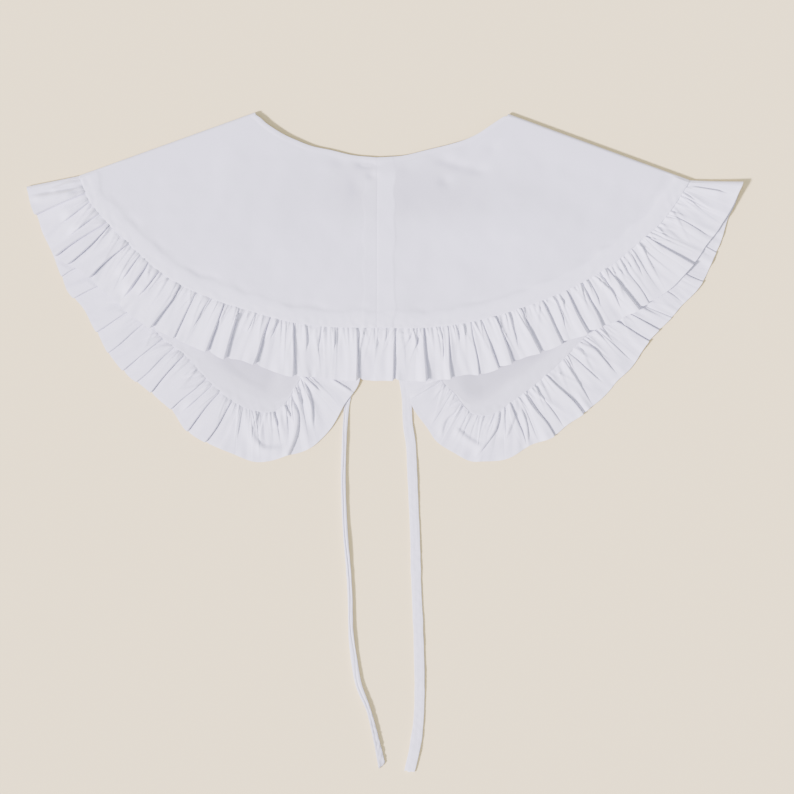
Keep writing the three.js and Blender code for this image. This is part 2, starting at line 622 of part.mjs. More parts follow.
// The origin is under the middle of the cloth's box, on the surface that it lies on.
const middle = new THREE.Box3().setFromObject(cloth).getCenter(new THREE.Vector3());
collar.add(cloth);
addPiece(collar, "tie_left", tieSolid(TIE_ROUTES.left, FOLDED_TIE_WIDTH, FOLDED_TIE_WALL));
addPiece(collar, "tie_right", tieSolid(TIE_ROUTES.right, TIE_WIDTH, TIE_WALL));
collar.position.set(-middle.x, -middle.y, 0);

export default collar;
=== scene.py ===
"""A detachable ruffled collar of white cotton, lying flat and folded over along its shoulders.

The back panel is on top, the two fronts lie under it with their inner side up, one gathered
ruffle runs round the whole outer edge, and two fabric ties come out between the fronts.
Shapes are worked out in millimetres and put into the meshes in metres.
"""

import bpy
import numpy as np
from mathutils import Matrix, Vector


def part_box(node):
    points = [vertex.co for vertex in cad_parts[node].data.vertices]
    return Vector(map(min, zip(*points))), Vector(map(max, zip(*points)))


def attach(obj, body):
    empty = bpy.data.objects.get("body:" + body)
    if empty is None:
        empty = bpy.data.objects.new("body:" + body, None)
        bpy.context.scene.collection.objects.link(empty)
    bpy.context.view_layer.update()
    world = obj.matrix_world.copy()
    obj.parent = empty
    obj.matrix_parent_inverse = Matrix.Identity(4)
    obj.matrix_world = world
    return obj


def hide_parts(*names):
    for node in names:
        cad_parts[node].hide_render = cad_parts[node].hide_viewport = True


METRES = 0.001  # in one millimetre

# Body of the collar, measured from the two neck corners, where the shoulders fold
NECK_WIDTH = 177
NECK_DROP = 31
BACK_LENGTH = 119
BODY_WIDTH = 426
SHOULDER_DROP = 45
FRONT_LENGTH = 210
FRONT_NECK_DROP = 88
SEAM_GAP = 0.4

# Cloth: walls, and how high the middle of each layer lies above the surface
BODY_WALL = 0.5
RUFFLE_WALL = 0.34
BACK_BODY_LEVEL = 4.2
FRONT_BODY_LEVEL = 0.32
BACK_RUFFLE_LEVEL = 3.8
FRONT_RUFFLE_LEVEL = 0.24

# Ruffle
RUFFLE_DEPTH = 36
RUFFLE_TUCK = 1.2  # how far the ruffle runs in under the body's edge
TIE_ROOM = 7.6  # seam left free at the neck corner for the tie's sewn end
HEM_ROOM = 12.2  # hem left free there, where the ruffle's end leans in
RISE = {"back": 3.3, "left front": 2.8, "right front": 2.1}  # height of the strongest folds
FULLER_BACK = (-120, -160, 0.5)  # the left tip is fuller: from which x to which, and how much
FULLER_FRONT = (-85, -115, 0.7)
TIE_LIFT = 1.2  # of the front ruffle where it lies over a tie
TIP_LIFT = {"left": 0.6, "right": 3.4}  # of the hem's corner where the shoulder folds
HEM_TURN = 2.2  # width of the turned hem
RUFFLE_ROWS = 34
RUFFLE_TURN_COLUMNS = 9  # round each shoulder
COLUMN_STEP = 0.52  # of the hem, between two columns
END_ROOM = 12  # of seam or hem beside the first and the last fold
FOLD_REACH = 45  # of seam or hem beyond which a fold changes nothing
RUFFLE_RADIUS = (BACK_RUFFLE_LEVEL - FRONT_RUFFLE_LEVEL) / 2  # of its turn at a shoulder
RUFFLE_TURN = RUFFLE_RADIUS * np.pi  # the way round there
TIP_FOLD_WAY = (0.88, 0.47)  # in which the left tip's long folds run

# Two rows of fine gathers: seam between two of them, least and most height in millimetres, and
# least and most reach as a share of the ruffle
GATHERS = [(3.9, 0.7, 2, 0.16, 0.6), (2.5, 0.35, 1.1, 0.1, 0.36)]

# Raised bands on the body
ALLOWANCE = 11.2  # width of the seam allowance behind the ruffle seam
NECK_RIM = 3.1  # width of the turned edge along the neckline
# The centre back allowance: its width and height, and how white it looks as a share
CENTRE_SEAM = {"left": (9.2, 0.14, 0.25), "right": (12.2, 0.26, 1)}
# The swell of a front along its seam: its width, how softly it ends, and its height
FRONT_SWELL = {"left": (17, 6, 0.8), "right": (14, 7, 1.5)}
EDGE_END = 0.47  # of a row past the front edge, where its sections end
FRONT_WEAVE_SHIFT = 7  # so that the weave of the fronts isn't the back's
# Sections on the back, round the shoulder, along the front neckline and down the front edge, and
# places across each section
BODY_GRID = {"back": 190, "shoulder": 11, "neckline": 90, "edge": 64, "across": 96}

# Ties
TIE_WIDTH = 7
TIE_WALL = 1.5
FOLDED_TIE_WIDTH = 3.5
FOLDED_TIE_WALL = 2.6
TIE_STEP = 1.1  # between two rings of points
TIE_RING = 44  # points in a ring

# The photograph's frame: one pixel in millimetres, and the pixel over the origin
PHOTO_SIZE = 794
PIXEL = 0.7
ORIGIN_ACROSS = 384.5
ORIGIN_DOWN = 287

BACK_COLUMNS = "neck neck_down seam seam_down lean deep"
BACK_SECTIONS = {
    "left": [
        (0, 1, 0, 1, 3, 1.01),
        (0.19, 0.95, 0.145, 0.995, 1, 1.02),
        (0.365, 0.835, 0.276, 0.965, 2, 1.01),
        (0.515, 0.745, 0.4, 0.898, 20, 0.99),
        (0.64, 0.61, 0.552, 0.798, 26, 0.99),
        (0.735, 0.485, 0.693, 0.655, 40, 1),
        (0.815, 0.35, 0.822, 0.425, 51, 1.01),
        (0.878, 0.225, 0.897, 0.271, 53, 1.16),
        (0.925, 0.105, 0.946, 0.145, 62, 1.06),
        (0.965, -0.02, 0.976, -0.015, 78, 1.05),
    ],
    "right": [
        (0, 1, 0, 1, -3, 1.01),
        (0.2, 0.96, 0.151, 1, 2, 1.02),
        (0.388, 0.835, 0.309, 0.961, 10, 1.01),
        (0.554, 0.723, 0.473, 0.868, 22, 0.93),
        (0.688, 0.61, 0.624, 0.748, 25, 0.91),
        (0.8, 0.463, 0.756, 0.598, 40, 1.01),
        (0.886, 0.3, 0.854, 0.438, 44, 1.07),
        (0.957, 0.165, 0.937, 0.285, 59, 0.98),
        (1, 0.09, 0.992, 0.131, 72, 1.02),
        (1.036, 0.01, 1.025, 0.015, 86, 1.03),
    ],
}

# The first eight rows pair with NECKLINE_TURNS, degrees round the front neckline's ellipse.
NECKLINE_TURNS = [0, 5, 15, 27, 40, 54, 70, 90]
FRONT_COLUMNS = "seam seam_down lean deep"
FRONT_SECTIONS = {
    "left": [
        (0.976, 0.207, 78, 1.05),
        (0.966, 0.287, 82, 0.96),
        (0.937, 0.37, 79, 0.95),
        (0.897, 0.453, 75, 0.97),
        (0.848, 0.537, 67, 0.99),
        (0.782, 0.637, 61, 0.97),
        (0.71, 0.743, 53, 1),
        (0.628, 0.807, 47, 0.99),
        (0.572, 0.87, 46, 0.92),
        (0.519, 0.923, 39, 0.98),
        (0.473, 0.96, 35, 0.95),
        (0.427, 0.983, 18, 0.92),
        (0.391, 0.993, 6, 0.96),
        (0.362, 0.997, -6, 0.92),
        (0.332, 0.99, -12, 0.92),
    ],
    "right": [
        (1.025, 0.222, 86, 1.03),
        (1.015, 0.297, 80, 0.91),
        (0.986, 0.38, 80, 0.89),
        (0.937, 0.467, 60, 0.94),
        (0.871, 0.553, 61, 0.93),
        (0.789, 0.64, 60, 0.94),
        (0.69, 0.737, 55, 1.05),
        (0.592, 0.837, 50, 1.09),
        (0.536, 0.887, 44, 1.03),
        (0.483, 0.93, 34, 1.01),
        (0.437, 0.963, 21, 0.92),
        (0.401, 0.99, 7, 0.92),
        (0.371, 1.003, -2, 0.9),
        (0.345, 1.007, -15, 0.89),
        (0.315, 1, -24, 0.85),
    ],
}

EDGE_COLUMNS = "edge edge_down lean deep lift"
EDGE_SECTIONS = {
    "left": [
        (0.135, 0, -72, 0.3, 0),
        (0.148, 0.128, -75, 0.52, 0),
        (0.161, 0.289, -74, 0.74, 0),
        (0.181, 0.461, -65, 0.92, 1),
        (0.214, 0.633, -57, 1.09, 1),
        (0.25, 0.788, -58, 1.01, 1),
        (0.27, 0.851, -40, 1.06, 0.5),
        (0.293, 0.92, -27, 1, 0),
    ],
    "right": [
        (0.148, 0, -73, 0.3, 0),
        (0.161, 0.162, -83, 0.52, 0),
        (0.174, 0.346, -87, 0.7, 0),
        (0.187, 0.53, -81, 0.78, 0.5),
        (0.197, 0.69, -53, 0.75, 1),
        (0.21, 0.811, -49, 0.74, 1),
        (0.246, 0.868, -37, 0.87, 0.5),
        (0.283, 0.954, -31, 0.84, 0),
    ],
}

# Folds of the ruffle: shares of the way along the seam and along the hem, height as a share of
# the strongest, and how far down the ruffle the fold reaches.
FOLD_COLUMNS = "seam hem rise reach"
BACK_FOLDS = {
    "left": [
        (0.06, 0.045, 1, 1), (0.12, 0.1, 0.5, 0.45), (0.16, 0.14, 0.3, 0.4),
        (0.2, 0.155, 0.5, 0.5), (0.24, 0.195, 0.8, 1), (0.287, 0.275, 0.5, 0.4),
        (0.307, 0.292, 1, 1), (0.35, 0.335, 0.5, 0.4), (0.4, 0.362, 1, 1),
        (0.445, 0.408, 1, 1), (0.485, 0.463, 0.5, 0.65), (0.53, 0.49, 0.5, 1),
        (0.58, 0.55, 1, 1), (0.65, 0.62, 0.7, 0.6), (0.69, 0.64, 1.1, 0.8),
        (0.72, 0.665, 0.7, 0.6), (0.767, 0.737, 1.1, 1), (0.843, 0.797, 1.1, 1),
        (0.853, 0.83, 0.8, 1), (0.885, 0.85, 0.7, 0.6), (0.93, 0.885, 0.7, 0.6),
        (0.958, 0.94, 0.9, 1),
    ],
    "right": [
        (0.002, 0, 0.5, 0.45), (0.025, 0.012, 0.4, 0.3), (0.05, 0.04, 0.7, 1),
        (0.088, 0.06, 0.3, 0.2), (0.11, 0.09, 0.5, 0.4), (0.127, 0.115, 1, 1),
        (0.173, 0.159, 0.5, 0.65), (0.195, 0.172, 0.8, 1), (0.217, 0.213, 0.5, 0.35),
        (0.26, 0.236, 0.5, 1), (0.288, 0.282, 0.6, 1), (0.328, 0.314, 1, 1),
        (0.368, 0.342, 0.5, 0.7), (0.403, 0.382, 1, 1), (0.466, 0.436, 0.8, 1),
        (0.497, 0.461, 0.5, 0.7), (0.539, 0.498, 1, 1), (0.588, 0.535, 0.8, 1),
        (0.605, 0.555, 0.5, 0.6), (0.645, 0.595, 0.5, 0.8), (0.666, 0.626, 1, 1),
        (0.713, 0.655, 0.3, 1), (0.745, 0.677, 0.5, 0.5), (0.807, 0.787, 0.8, 1),
        (0.894, 0.864, 0.4, 0.9), (0.96, 0.907, 0.3, 0.5), (0.985, 0.978, 0.3, 0.8),
    ],
}
FRONT_FOLDS = {
    "left": [
        (0.153, 0.142, 0.8, 1), (0.209, 0.18, 0.9, 1), (0.278, 0.243, 1, 1),
        (0.312, 0.28, 0.7, 1), (0.358, 0.315, 1.1, 1), (0.387, 0.343, 0.7, 1),
        (0.411, 0.37, 1.1, 1), (0.474, 0.41, 1, 1), (0.492, 0.428, 0.6, 0.8),
        (0.513, 0.453, 0.8, 1), (0.541, 0.485, 0.8, 1), (0.567, 0.536, 0.4, 0.65),
        (0.584, 0.561, 0.3, 0.6), (0.6, 0.575, 0.2, 0.4), (0.633, 0.61, 0.3, 0.65),
        (0.66, 0.622, 0.2, 0.7), (0.677, 0.634, 0.3, 0.5), (0.694, 0.662, 0.2, 0.5),
        (0.716, 0.68, 0.3, 0.6), (0.726, 0.731, 0.2, 0.5), (0.754, 0.766, 0.2, 0.4),
        (0.84, 0.86, 0.3, 1), (0.91, 0.93, 0.3, 1),
    ],
    "right": [
        (0.099, 0.108, 0.4, 1), (0.151, 0.157, 0.5, 1), (0.208, 0.201, 0.5, 0.9),
        (0.255, 0.23, 0.3, 1), (0.284, 0.257, 0.8, 1), (0.307, 0.28, 0.8, 1),
        (0.342, 0.319, 0.5, 0.9), (0.372, 0.349, 0.8, 0.85), (0.41, 0.37, 0.8, 0.75),
        (0.425, 0.411, 0.5, 0.9), (0.471, 0.431, 1, 1), (0.5, 0.466, 0.5, 0.95),
        (0.52, 0.486, 0.8, 1), (0.539, 0.511, 0.3, 0.9), (0.557, 0.53, 0.8, 0.9),
        (0.572, 0.565, 0.4, 0.6), (0.586, 0.604, 0.2, 0.5), (0.614, 0.616, 0.2, 0.85),
        (0.663, 0.678, 0.2, 0.5), (0.696, 0.702, 0.3, 0.85), (0.727, 0.753, 0.3, 0.5),
        (0.8, 0.84, 0.3, 1), (0.88, 0.92, 0.3, 1),
    ],
}

# Single creases of the ruffle: height, width of the steep side, then points in the plan, in
# millimetres from the centre back and the neck corners. The foot lies left of the direction.
FRONT_CREASES = [
    (1.4, 2.2, [(53.5, -219), (63.5, -227.4), (74.5, -234)]),
    (1.6, 1.6, [(59.5, -204.4), (48.8, -212.8), (46, -219), (44.5, -226.8)]),
    (2, 0.9, [(85.4, -208.6), (84.4, -216), (81.9, -222.6), (69.3, -239.8)]),
    (1.5, 1.6, [(91, -204.4), (95, -212.1), (88.6, -228.9)]),
    (1.4, 0.8, [(100.1, -204.4), (104.7, -218.4), (105.7, -231)]),
    (1.9, 0.7, [(46, -186.2), (35, -192.5), (22, -200.2)]),
    (1.6, 2.5, [(-86.5, -206), (-87.5, -219), (-85.5, -228), (-79, -234), (-69, -234), (-61, -229.5)]),
    (1.5, 0.7, [(-73, -207.5), (-69.5, -220)]),
    (1.6, 0.7, [(-66, -202), (-59.5, -213.5)]),
    (3, 1.5, [(-60.8, -197.5), (-56, -210.7), (-56.7, -223.3), (-63, -240), (-67, -249)]),
    (1.5, 0.8, [(-58, -189), (-52.8, -205)]),
    (2, 1, [(-52.3, -184), (-46.2, -203), (-44.8, -221)]),
    (2.1, 1.1, [(-55, -180.5), (-47.5, -187.5), (-39.5, -195)]),
    (2.4, 0.8, [(-33, -184.8), (-25, -189.8), (-16.5, -195.2)]),
]
BACK_CREASES = [
    (2.1, 2.8, [(-243, -60), (-225, -57.5), (-208, -54.3)]),
    (1.5, 2.2, [(-229, -55.5), (-218, -50), (-208.5, -45)]),
    (1, 1.2, [(217, -51), (230, -53.6), (243, -55.5)]),
]

# Soft hollows and small dents of the back panel: across and wide are shares of half the body's
# width, down and long are shares of the back's length below the neck corners, and deep is in
# millimetres, less than 0 where the cloth swells.
HOLLOW_COLUMNS = "across down wide long deep"
HOLLOWS = [
    (0.02, 0.42, 0.2, 0.2, 0.7),
    (0.28, 0.36, 0.14, 0.12, 0.45),
    (-0.25, 0.5, 0.16, 0.16, 0.35),
    (-0.58, 0.62, 0.14, 0.2, -0.25),
    (0.6, 0.66, 0.16, 0.2, -0.25),
    (0.3, 0.95, 0.2, 0.14, 0.25),
    (0.17, 0.3, 0.5, 0.16, 1),
    (-0.24, 0.38, 0.16, 0.16, 0.7),
    (0.72, 0.42, 0.16, 0.16, 0.8),
    (0.22, 0.86, 0.2, 0.05, 0.35),
]
DENTS = [
    (-0.02, 0.235, 0.03, 0.022, 1.5),
    (-0.045, 0.232, 0.026, 0.02, 1.1),
    (-0.018, 0.287, 0.017, 0.02, 1.1),
    (-0.065, 0.34, 0.03, 0.05, 1),
    (0.222, 0.22, 0.028, 0.022, 1.3),
    (0.268, 0.24, 0.032, 0.022, 1.6),
    (0.33, 0.262, 0.032, 0.024, 1.4),
    (0.225, 0.315, 0.022, 0.026, 1.2),
    (0.1, 0.26, 0.026, 0.03, 0.5),
    (0.38, 0.16, 0.022, 0.03, 0.6),
    (0.15, 0.2, 0.03, 0.03, -0.45),
    (0.25, 0.17, 0.035, 0.026, -0.5),
    (-0.16, 0.25, 0.03, 0.03, -0.4),
    (-0.12, 0.22, 0.025, 0.03, 0.5),
]

# Painted shade on the back panel: patches where its colour is made greyer to stand in for the
# shade on its soft sag, or, below 0, whiter as painted light. deep is a share of the tone here.
PAINTED_SHADE_AND_LIGHT = [
    (0.155, 0.345, 0.34, 0.16, 0.3),
    (0.25, 0.41, 0.55, 0.09, 0.09),
    (0.36, 0.6, 0.18, 0.11, -0.16),
]
SINK_LIMIT = 2.9  # how far the broad shapes can lower the back panel
FLOOR_LIMIT = 3.7  # how far the small dents can lower it
SAG_DEPTH = 2.7  # how deep the back panel sinks between the fronts
SAG_WIDTH = 60  # to either side of the centre back
SAG_DOWN = 76  # below the neck corners, where it has faded out

# Routes of the ties' centre lines, in millimetres from the centre back and the neck corners
TIE_ROUTES = {
    "left": [
        (-27.6, -92.7), (-22.4, -93.1), (-16.8, -95.2), (-11.2, -99.4), (-7, -105.3),
        (-4.2, -113.4), (-3.1, -123.2), (-2.8, -137.2), (-3.5, -151.2), (-5.2, -163.1),
        (-8.7, -173.6), (-14, -183.4), (-18.2, -191.8), (-20.8, -201.6), (-22.2, -215.6),
        (-23.1, -231.7), (-23.7, -252.7), (-23.1, -275.8), (-21.7, -298.2), (-20, -317.1),
        (-18.9, -334.6), (-18.2, -364.7), (-15.8, -383.6), (-12.6, -399.7), (-5.6, -417.9),
        (-2.1, -431.2), (0.7, -443.8), (3.2, -456),
    ],
    "right": [
        (30.5, -92.7), (25, -93.6), (19, -96), (13.8, -100.5), (9.4, -107), (6.6, -115),
        (5.2, -124.5), (4.9, -137.2), (5.9, -151.2), (8.8, -166), (12.9, -181), (16.4, -192),
        (19, -201.5), (21.3, -217.7), (23.8, -231.7), (24.9, -252.7), (26.3, -290),
        (27.3, -322), (28.7, -357.7), (29.8, -399), (29.1, -424.2), (26.6, -443.1),
        (22.8, -459.9),
    ],
}

# Width and height of each tie along its route, as shares of the length and of the named sizes.
# Under the ruffle the ties are pressed flat.
TIE_WIDTHS = {
    "left": [
        (0, 1.9), (0.1, 1.6), (0.2, 1.3), (0.32, 1), (0.4, 0.9), (0.74, 0.95), (0.795, 1.25),
        (0.85, 1.25), (0.9, 0.9), (0.955, 1.2), (1, 1.5),
    ],
    "right": [(0, 1), (0.5, 0.96), (0.9, 1), (0.955, 1.12), (1, 1)],
}
TIE_HEIGHTS = {
    "left": [(0, 0.35), (0.335, 0.4), (0.39, 1), (0.96, 1), (1, 0.7)],
    "right": [(0, 0.5), (0.3, 0.6), (0.36, 1), (0.9, 1), (0.96, 1.3), (1, 1.2)],
}

# The same way: how much cloth a tie shows, from 0 to 1, which falls towards the left tie's end as
# painted shade where that end turns away from the light, how deep its crease is as a share, how
# rough it is, and how far it has slid sideways, both in millimetres
TIE_CLOTH_AND_SHADE = {"left": [(0.86, 0.8), (0.92, 0.3), (1, 0.25)], "right": [(0, 0.8)]}
TIE_CREASES = {"left": [(0.72, 1), (0.8, 0.35), (0.86, 0.5), (0.92, 0.2)], "right": [(0, 1)]}
TIE_ROUGHNESS = {
    "left": [(0.7, 0.02), (0.86, 0.06), (0.93, 0.2), (1, 0.3)],
    "right": [(0, 0.03), (1, 0.05)],
}
TIE_SLIDES = {
    "left": [(0, 0)],
    "right": [
        (0, 0), (0.15, 2), (0.24, 5), (0.285, 4.4), (0.31, 2.6), (0.35, 0.2), (0.4, -0.4),
        (0.5, 0),
    ],
}
TIE_SEEDS = {"left": 51, "right": 61}

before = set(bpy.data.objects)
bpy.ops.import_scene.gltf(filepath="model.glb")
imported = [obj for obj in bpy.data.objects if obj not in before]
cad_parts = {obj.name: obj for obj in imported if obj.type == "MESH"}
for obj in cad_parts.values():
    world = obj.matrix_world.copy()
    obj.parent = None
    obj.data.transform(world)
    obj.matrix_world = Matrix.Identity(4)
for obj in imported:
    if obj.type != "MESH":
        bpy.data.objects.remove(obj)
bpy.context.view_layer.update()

# Where the plan's zero lies in the frame, in millimetres: the centre back seam at the level of
# the neck corners
TOP_CORNER = -NECK_DROP * BACK_SECTIONS["left"][-1][1]
PLACE = np.array(
    [
        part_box("body_right")[0][0] / METRES - SEAM_GAP / 2,
        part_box("body_left")[1][1] / METRES - TOP_CORNER,
        0,
    ]
)


def named(names, rows):
    """A table as a dictionary of its columns: each column's name with its array of numbers."""
    return dict(zip(names.split(), np.array(rows, float).T))


def smoothstep(low, high, value):
    """0 below low, 1 above high, and 3t^2 - 2t^3 between them, t being the share of the way."""
    t = np.clip((value - low) / (high - low), 0, 1)
    return t * t * (3 - 2 * t)


def mix(a, b, share):
    """The value at that share of the way from a to b."""
    return a + (b - a) * share


def ripple(x, y, length, seed):
    """Soft noise of about unit height: the sum of 24 cosine waves of about that length, each in
    a direction and with a phase drawn from the seed."""
    draw = np.random.default_rng(seed)
    turn = draw.uniform(0, 2 * np.pi, 24)
    pitch = 2 * np.pi / (length * draw.uniform(0.7, 1.5, 24))
    phase = draw.uniform(0, 2 * np.pi, 24)
    x, y = np.broadcast_arrays(x, y)
    along = x[..., None] * np.cos(turn) + y[..., None] * np.sin(turn)
    return np.cos(along * pitch + phase).sum(axis=-1) / np.sqrt(12)


class Curve:
    """A smooth line through points, a centripetal Catmull-Rom curve. Between two points each
    coordinate is a cubic with the slopes that the four nearest points give, where the time from
    one point to the next is the square root of their distance."""

    SAMPLES = 5000

    def __init__(self, points):
        p = np.asarray(points, float)
        ends = np.vstack([2 * p[0] - p[1], p, 2 * p[-1] - p[-2]])
        self.rows = np.linspace(0, len(p) - 1, self.SAMPLES)
        low = np.minimum(self.rows.astype(int), len(p) - 2)
        t = (self.rows - low)[:, None]
        p0, p1, p2, p3 = (ends[low + k] for k in range(4))
        d0, d1, d2 = (np.sqrt(np.linalg.norm(d, axis=1))[:, None] for d in (p1 - p0, p2 - p1, p3 - p2))
        leave = ((p1 - p0) / d0 - (p2 - p0) / (d0 + d1) + (p2 - p1) / d1) * d1
        reach = ((p2 - p1) / d1 - (p3 - p1) / (d1 + d2) + (p3 - p2) / d2) * d1
        square = 3 * (p2 - p1) - 2 * leave - reach
        cube = 2 * (p1 - p2) + leave + reach
        self.points = p1 + t * (leave + t * (square + t * cube))
        steps = np.linalg.norm(np.diff(self.points, axis=0), axis=1)
        self.arc = np.concatenate([[0], np.cumsum(steps)])
        self.length = self.arc[-1]

    def at(self, share):
        """The points at those shares of the length."""
        place = np.asarray(share) * self.length
        return np.stack([np.interp(place, self.arc, c) for c in self.points.T], axis=-1)

    def at_row(self, row):
        """The points at those places in the list of points, counted from 0."""
        return np.stack([np.interp(row, self.rows, c) for c in self.points.T], axis=-1)

    def row_of(self, share):
        """The place in the list of points at those shares of the length."""
        return np.interp(np.asarray(share) * self.length, self.arc, self.rows)


class Half:
    """The outlines of the left or right half, as curves in the plan, and the outward normal of
    its shoulder fold. Points on the fold are moved in, so that the folded cloth ends there."""

    def __init__(self, side):
        self.side = side
        self.sign = -1 if side == "left" else 1
        back = named(BACK_COLUMNS, BACK_SECTIONS[side])
        front = named(FRONT_COLUMNS, FRONT_SECTIONS[side])
        edge = named(EDGE_COLUMNS, EDGE_SECTIONS[side])
        half_neck, half_body = NECK_WIDTH / 2, BODY_WIDTH / 2
        below = NECK_DROP + BACK_LENGTH - SHOULDER_DROP

        neck = self.plan(half_neck * back["neck"], NECK_DROP * back["neck_down"])
        seam = self.plan(half_body * back["seam"], SHOULDER_DROP + below * back["seam_down"])
        front_edge = self.plan(
            half_body * edge["edge"], mix(FRONT_NECK_DROP, FRONT_LENGTH, edge["edge_down"])
        )
        turn = np.radians(NECKLINE_TURNS)
        neckline = np.stack(
            [
                mix(front_edge[0, 0], neck[-1, 0], np.cos(turn)),
                mix(neck[-1, 1], front_edge[0, 1], np.sin(turn)),
            ],
            axis=1,
        )
        outer = self.plan(half_body * front["seam"], FRONT_LENGTH * front["seam_down"])
        outer[0] = seam[-1]
        front_seam = np.vstack([outer, front_edge[::-1]])
        lean = np.concatenate([front["lean"], edge["lean"][::-1]])
        deep = np.concatenate([front["deep"], edge["deep"][::-1]])
        back_hem = self.hem(seam, back["lean"], back["deep"])
        front_hem = self.hem(front_seam, lean, deep)
        front_hem[0] = back_hem[-1]

        along = seam[-1] - neck[-1]
        along = along / np.linalg.norm(along)
        self.outward = self.sign * np.array([-along[1], along[0]])
        self.neck_rows, self.edge_rows = len(NECKLINE_TURNS) - 1, len(front_edge) - 1
        self.front_rows = len(front_seam) - 1
        self.lift = np.concatenate([np.zeros(len(outer)), edge["lift"][::-1]])
        radius = (BACK_BODY_LEVEL - FRONT_BODY_LEVEL) / 2 + BODY_WALL / 2
        self.neck = Curve(self.inset(neck, -1, radius))
        self.seam = Curve(self.inset(seam, -1, radius))
        self.neckline = Curve(self.inset(neckline, 0, radius))
        self.front_seam = Curve(self.inset(front_seam, 0, radius))
        self.back_hem = Curve(self.inset(back_hem, -1, radius))
        self.front_hem = Curve(self.inset(front_hem, 0, radius))

    def plan(self, across, down):
        """Points in the plan, so far across from the centre back and down from the corners."""
        return np.stack([self.sign * across, -down], axis=1)

    def hem(self, seam, lean, deep):
        """Hem points: the seam's, moved the ruffle's depth along its lean."""
        turn = np.radians(lean)
        way = np.stack([self.sign * np.sin(turn), -np.cos(turn)], axis=1)
        return seam + RUFFLE_DEPTH * deep[:, None] * way

    def inset(self, points, index, radius):
        """The points, with the one on the shoulder moved in so that the fold ends there."""
        moved = points.copy()
        moved[index] -= radius * self.outward
        return moved


def normals_of(surface):
    """The normals of a grid of columns, rows and coordinates: the cross product of the slopes
    along its columns and its rows, as unit vectors."""
    normal = np.cross(np.gradient(surface, axis=0), np.gradient(surface, axis=1))
    return normal / np.maximum(np.linalg.norm(normal, axis=2, keepdims=True), 1e-9)


def grid_mesh(name, surface, normal, wall, uv, layers):
    """A closed sheet of cloth. surface is an array of columns, rows and coordinates, the middle
    of the cloth. Each side lies half a wall along the normal, and the four borders join the two
    sides. uv is in millimetres, and layers says, from 0 to 1, how much cloth lies there, with
    painted shade and painted light worked into it in places."""
    half = np.broadcast_to(np.asarray(wall, float) / 2, surface.shape[:2])[..., None]
    points = np.concatenate([(surface + normal * half), (surface - normal * half)])
    columns, rows = surface.shape[:2]
    near = np.arange(columns * rows).reshape(columns, rows)
    far = near + columns * rows

    def quads(a, b, c, d):
        """Faces from the arrays of their four corners."""
        return np.stack([a, b, c, d], axis=-1).reshape(-1, 4)

    def strip(a, b):
        """Faces between two lines of points."""
        return quads(a[:-1], b[:-1], b[1:], a[1:])

    faces = np.concatenate(
        [
            quads(near[:-1, :-1], near[1:, :-1], near[1:, 1:], near[:-1, 1:]),
            quads(far[:-1, :-1], far[:-1, 1:], far[1:, 1:], far[1:, :-1]),
            strip(near[:, 0], far[:, 0]),
            strip(far[:, -1], near[:, -1]),
            strip(far[0], near[0]),
            strip(near[-1], far[-1]),
        ]
    )
    uvs = np.concatenate([uv, uv]).reshape(-1, 2)
    doubled = np.concatenate([layers, layers]).reshape(-1)
    return mesh_object(name, points.reshape(-1, 3), faces, uvs, doubled)


def mesh_object(name, points, faces, uvs, doubled):
    """An object at the origin from arrays of points in millimetres, four-cornered faces, and a
    UV and a layer value for each point."""
    mesh = bpy.data.meshes.new(name)
    mesh.vertices.add(len(points))
    mesh.vertices.foreach_set("co", ((points + PLACE) * METRES).ravel())
    mesh.loops.add(faces.size)
    mesh.loops.foreach_set("vertex_index", faces.ravel())
    mesh.polygons.add(len(faces))
    mesh.polygons.foreach_set("loop_start", np.arange(0, faces.size, 4))
    mesh.polygons.foreach_set("use_smooth", np.ones(len(faces), bool))
    mesh.uv_layers.new(name="cloth").uv.foreach_set("vector", (uvs[faces.ravel()] * METRES).ravel())
    mesh.attributes.new("layers", "FLOAT", "POINT").data.foreach_set("value", doubled)
    mesh.update(calc_edges=True)
    mesh.validate()
    mesh.set_sharp_from_angle(angle=np.radians(75))
    made = bpy.data.objects.new(name, mesh)
    bpy.context.collection.objects.link(made)
    return made


def eased(count, pinch):
    """Shares from 0 to 1 that lie closer together near both ends: t - pinch sin(2 pi t)/(2 pi)."""
    t = np.linspace(0, 1, count)
    return t - pinch * np.sin(2 * np.pi * t) / (2 * np.pi)


def fold_round(plan, outward, angle, back_level, front_level, height):
    """Lays a plan on its layer. angle is 90 degrees on the back layer, -90 on the front layer,
    and between them the cloth follows a half circle from one level to the other: out by
    radius cos(angle), up by radius sin(angle)."""
    turn = np.radians(angle)[:, None]
    radius = (back_level - front_level) / 2
    place = plan + radius * np.cos(turn)[..., None] * outward
    level = (back_level + front_level) / 2 + radius * np.sin(turn) + height
    return np.concatenate([place, level[..., None]], axis=2)


def fold_angles(count):
    """The angles of the columns round a shoulder, without the two flat layers themselves."""
    return np.linspace(90, -90, count + 2)[1:-1]


def patches(rows, x, y):
    """The sum of soft round patches: each is its last number times e^-(u^2 + v^2), u and v
    being how far the place is from its middle, as shares of its width and length."""
    spot = named(HOLLOW_COLUMNS, rows)
    u = (x[..., None] / (BODY_WIDTH / 2) - spot["across"]) / spot["wide"]
    v = (-y[..., None] / (NECK_DROP + BACK_LENGTH) - spot["down"]) / spot["long"]
    return (np.exp(-(u**2) - v**2) * spot["deep"]).sum(axis=-1)


def band(distance, width, soft):
    """1 from the edge to the given width, then softly down to 0."""
    return 1 - smoothstep(width - soft, width + soft, distance)


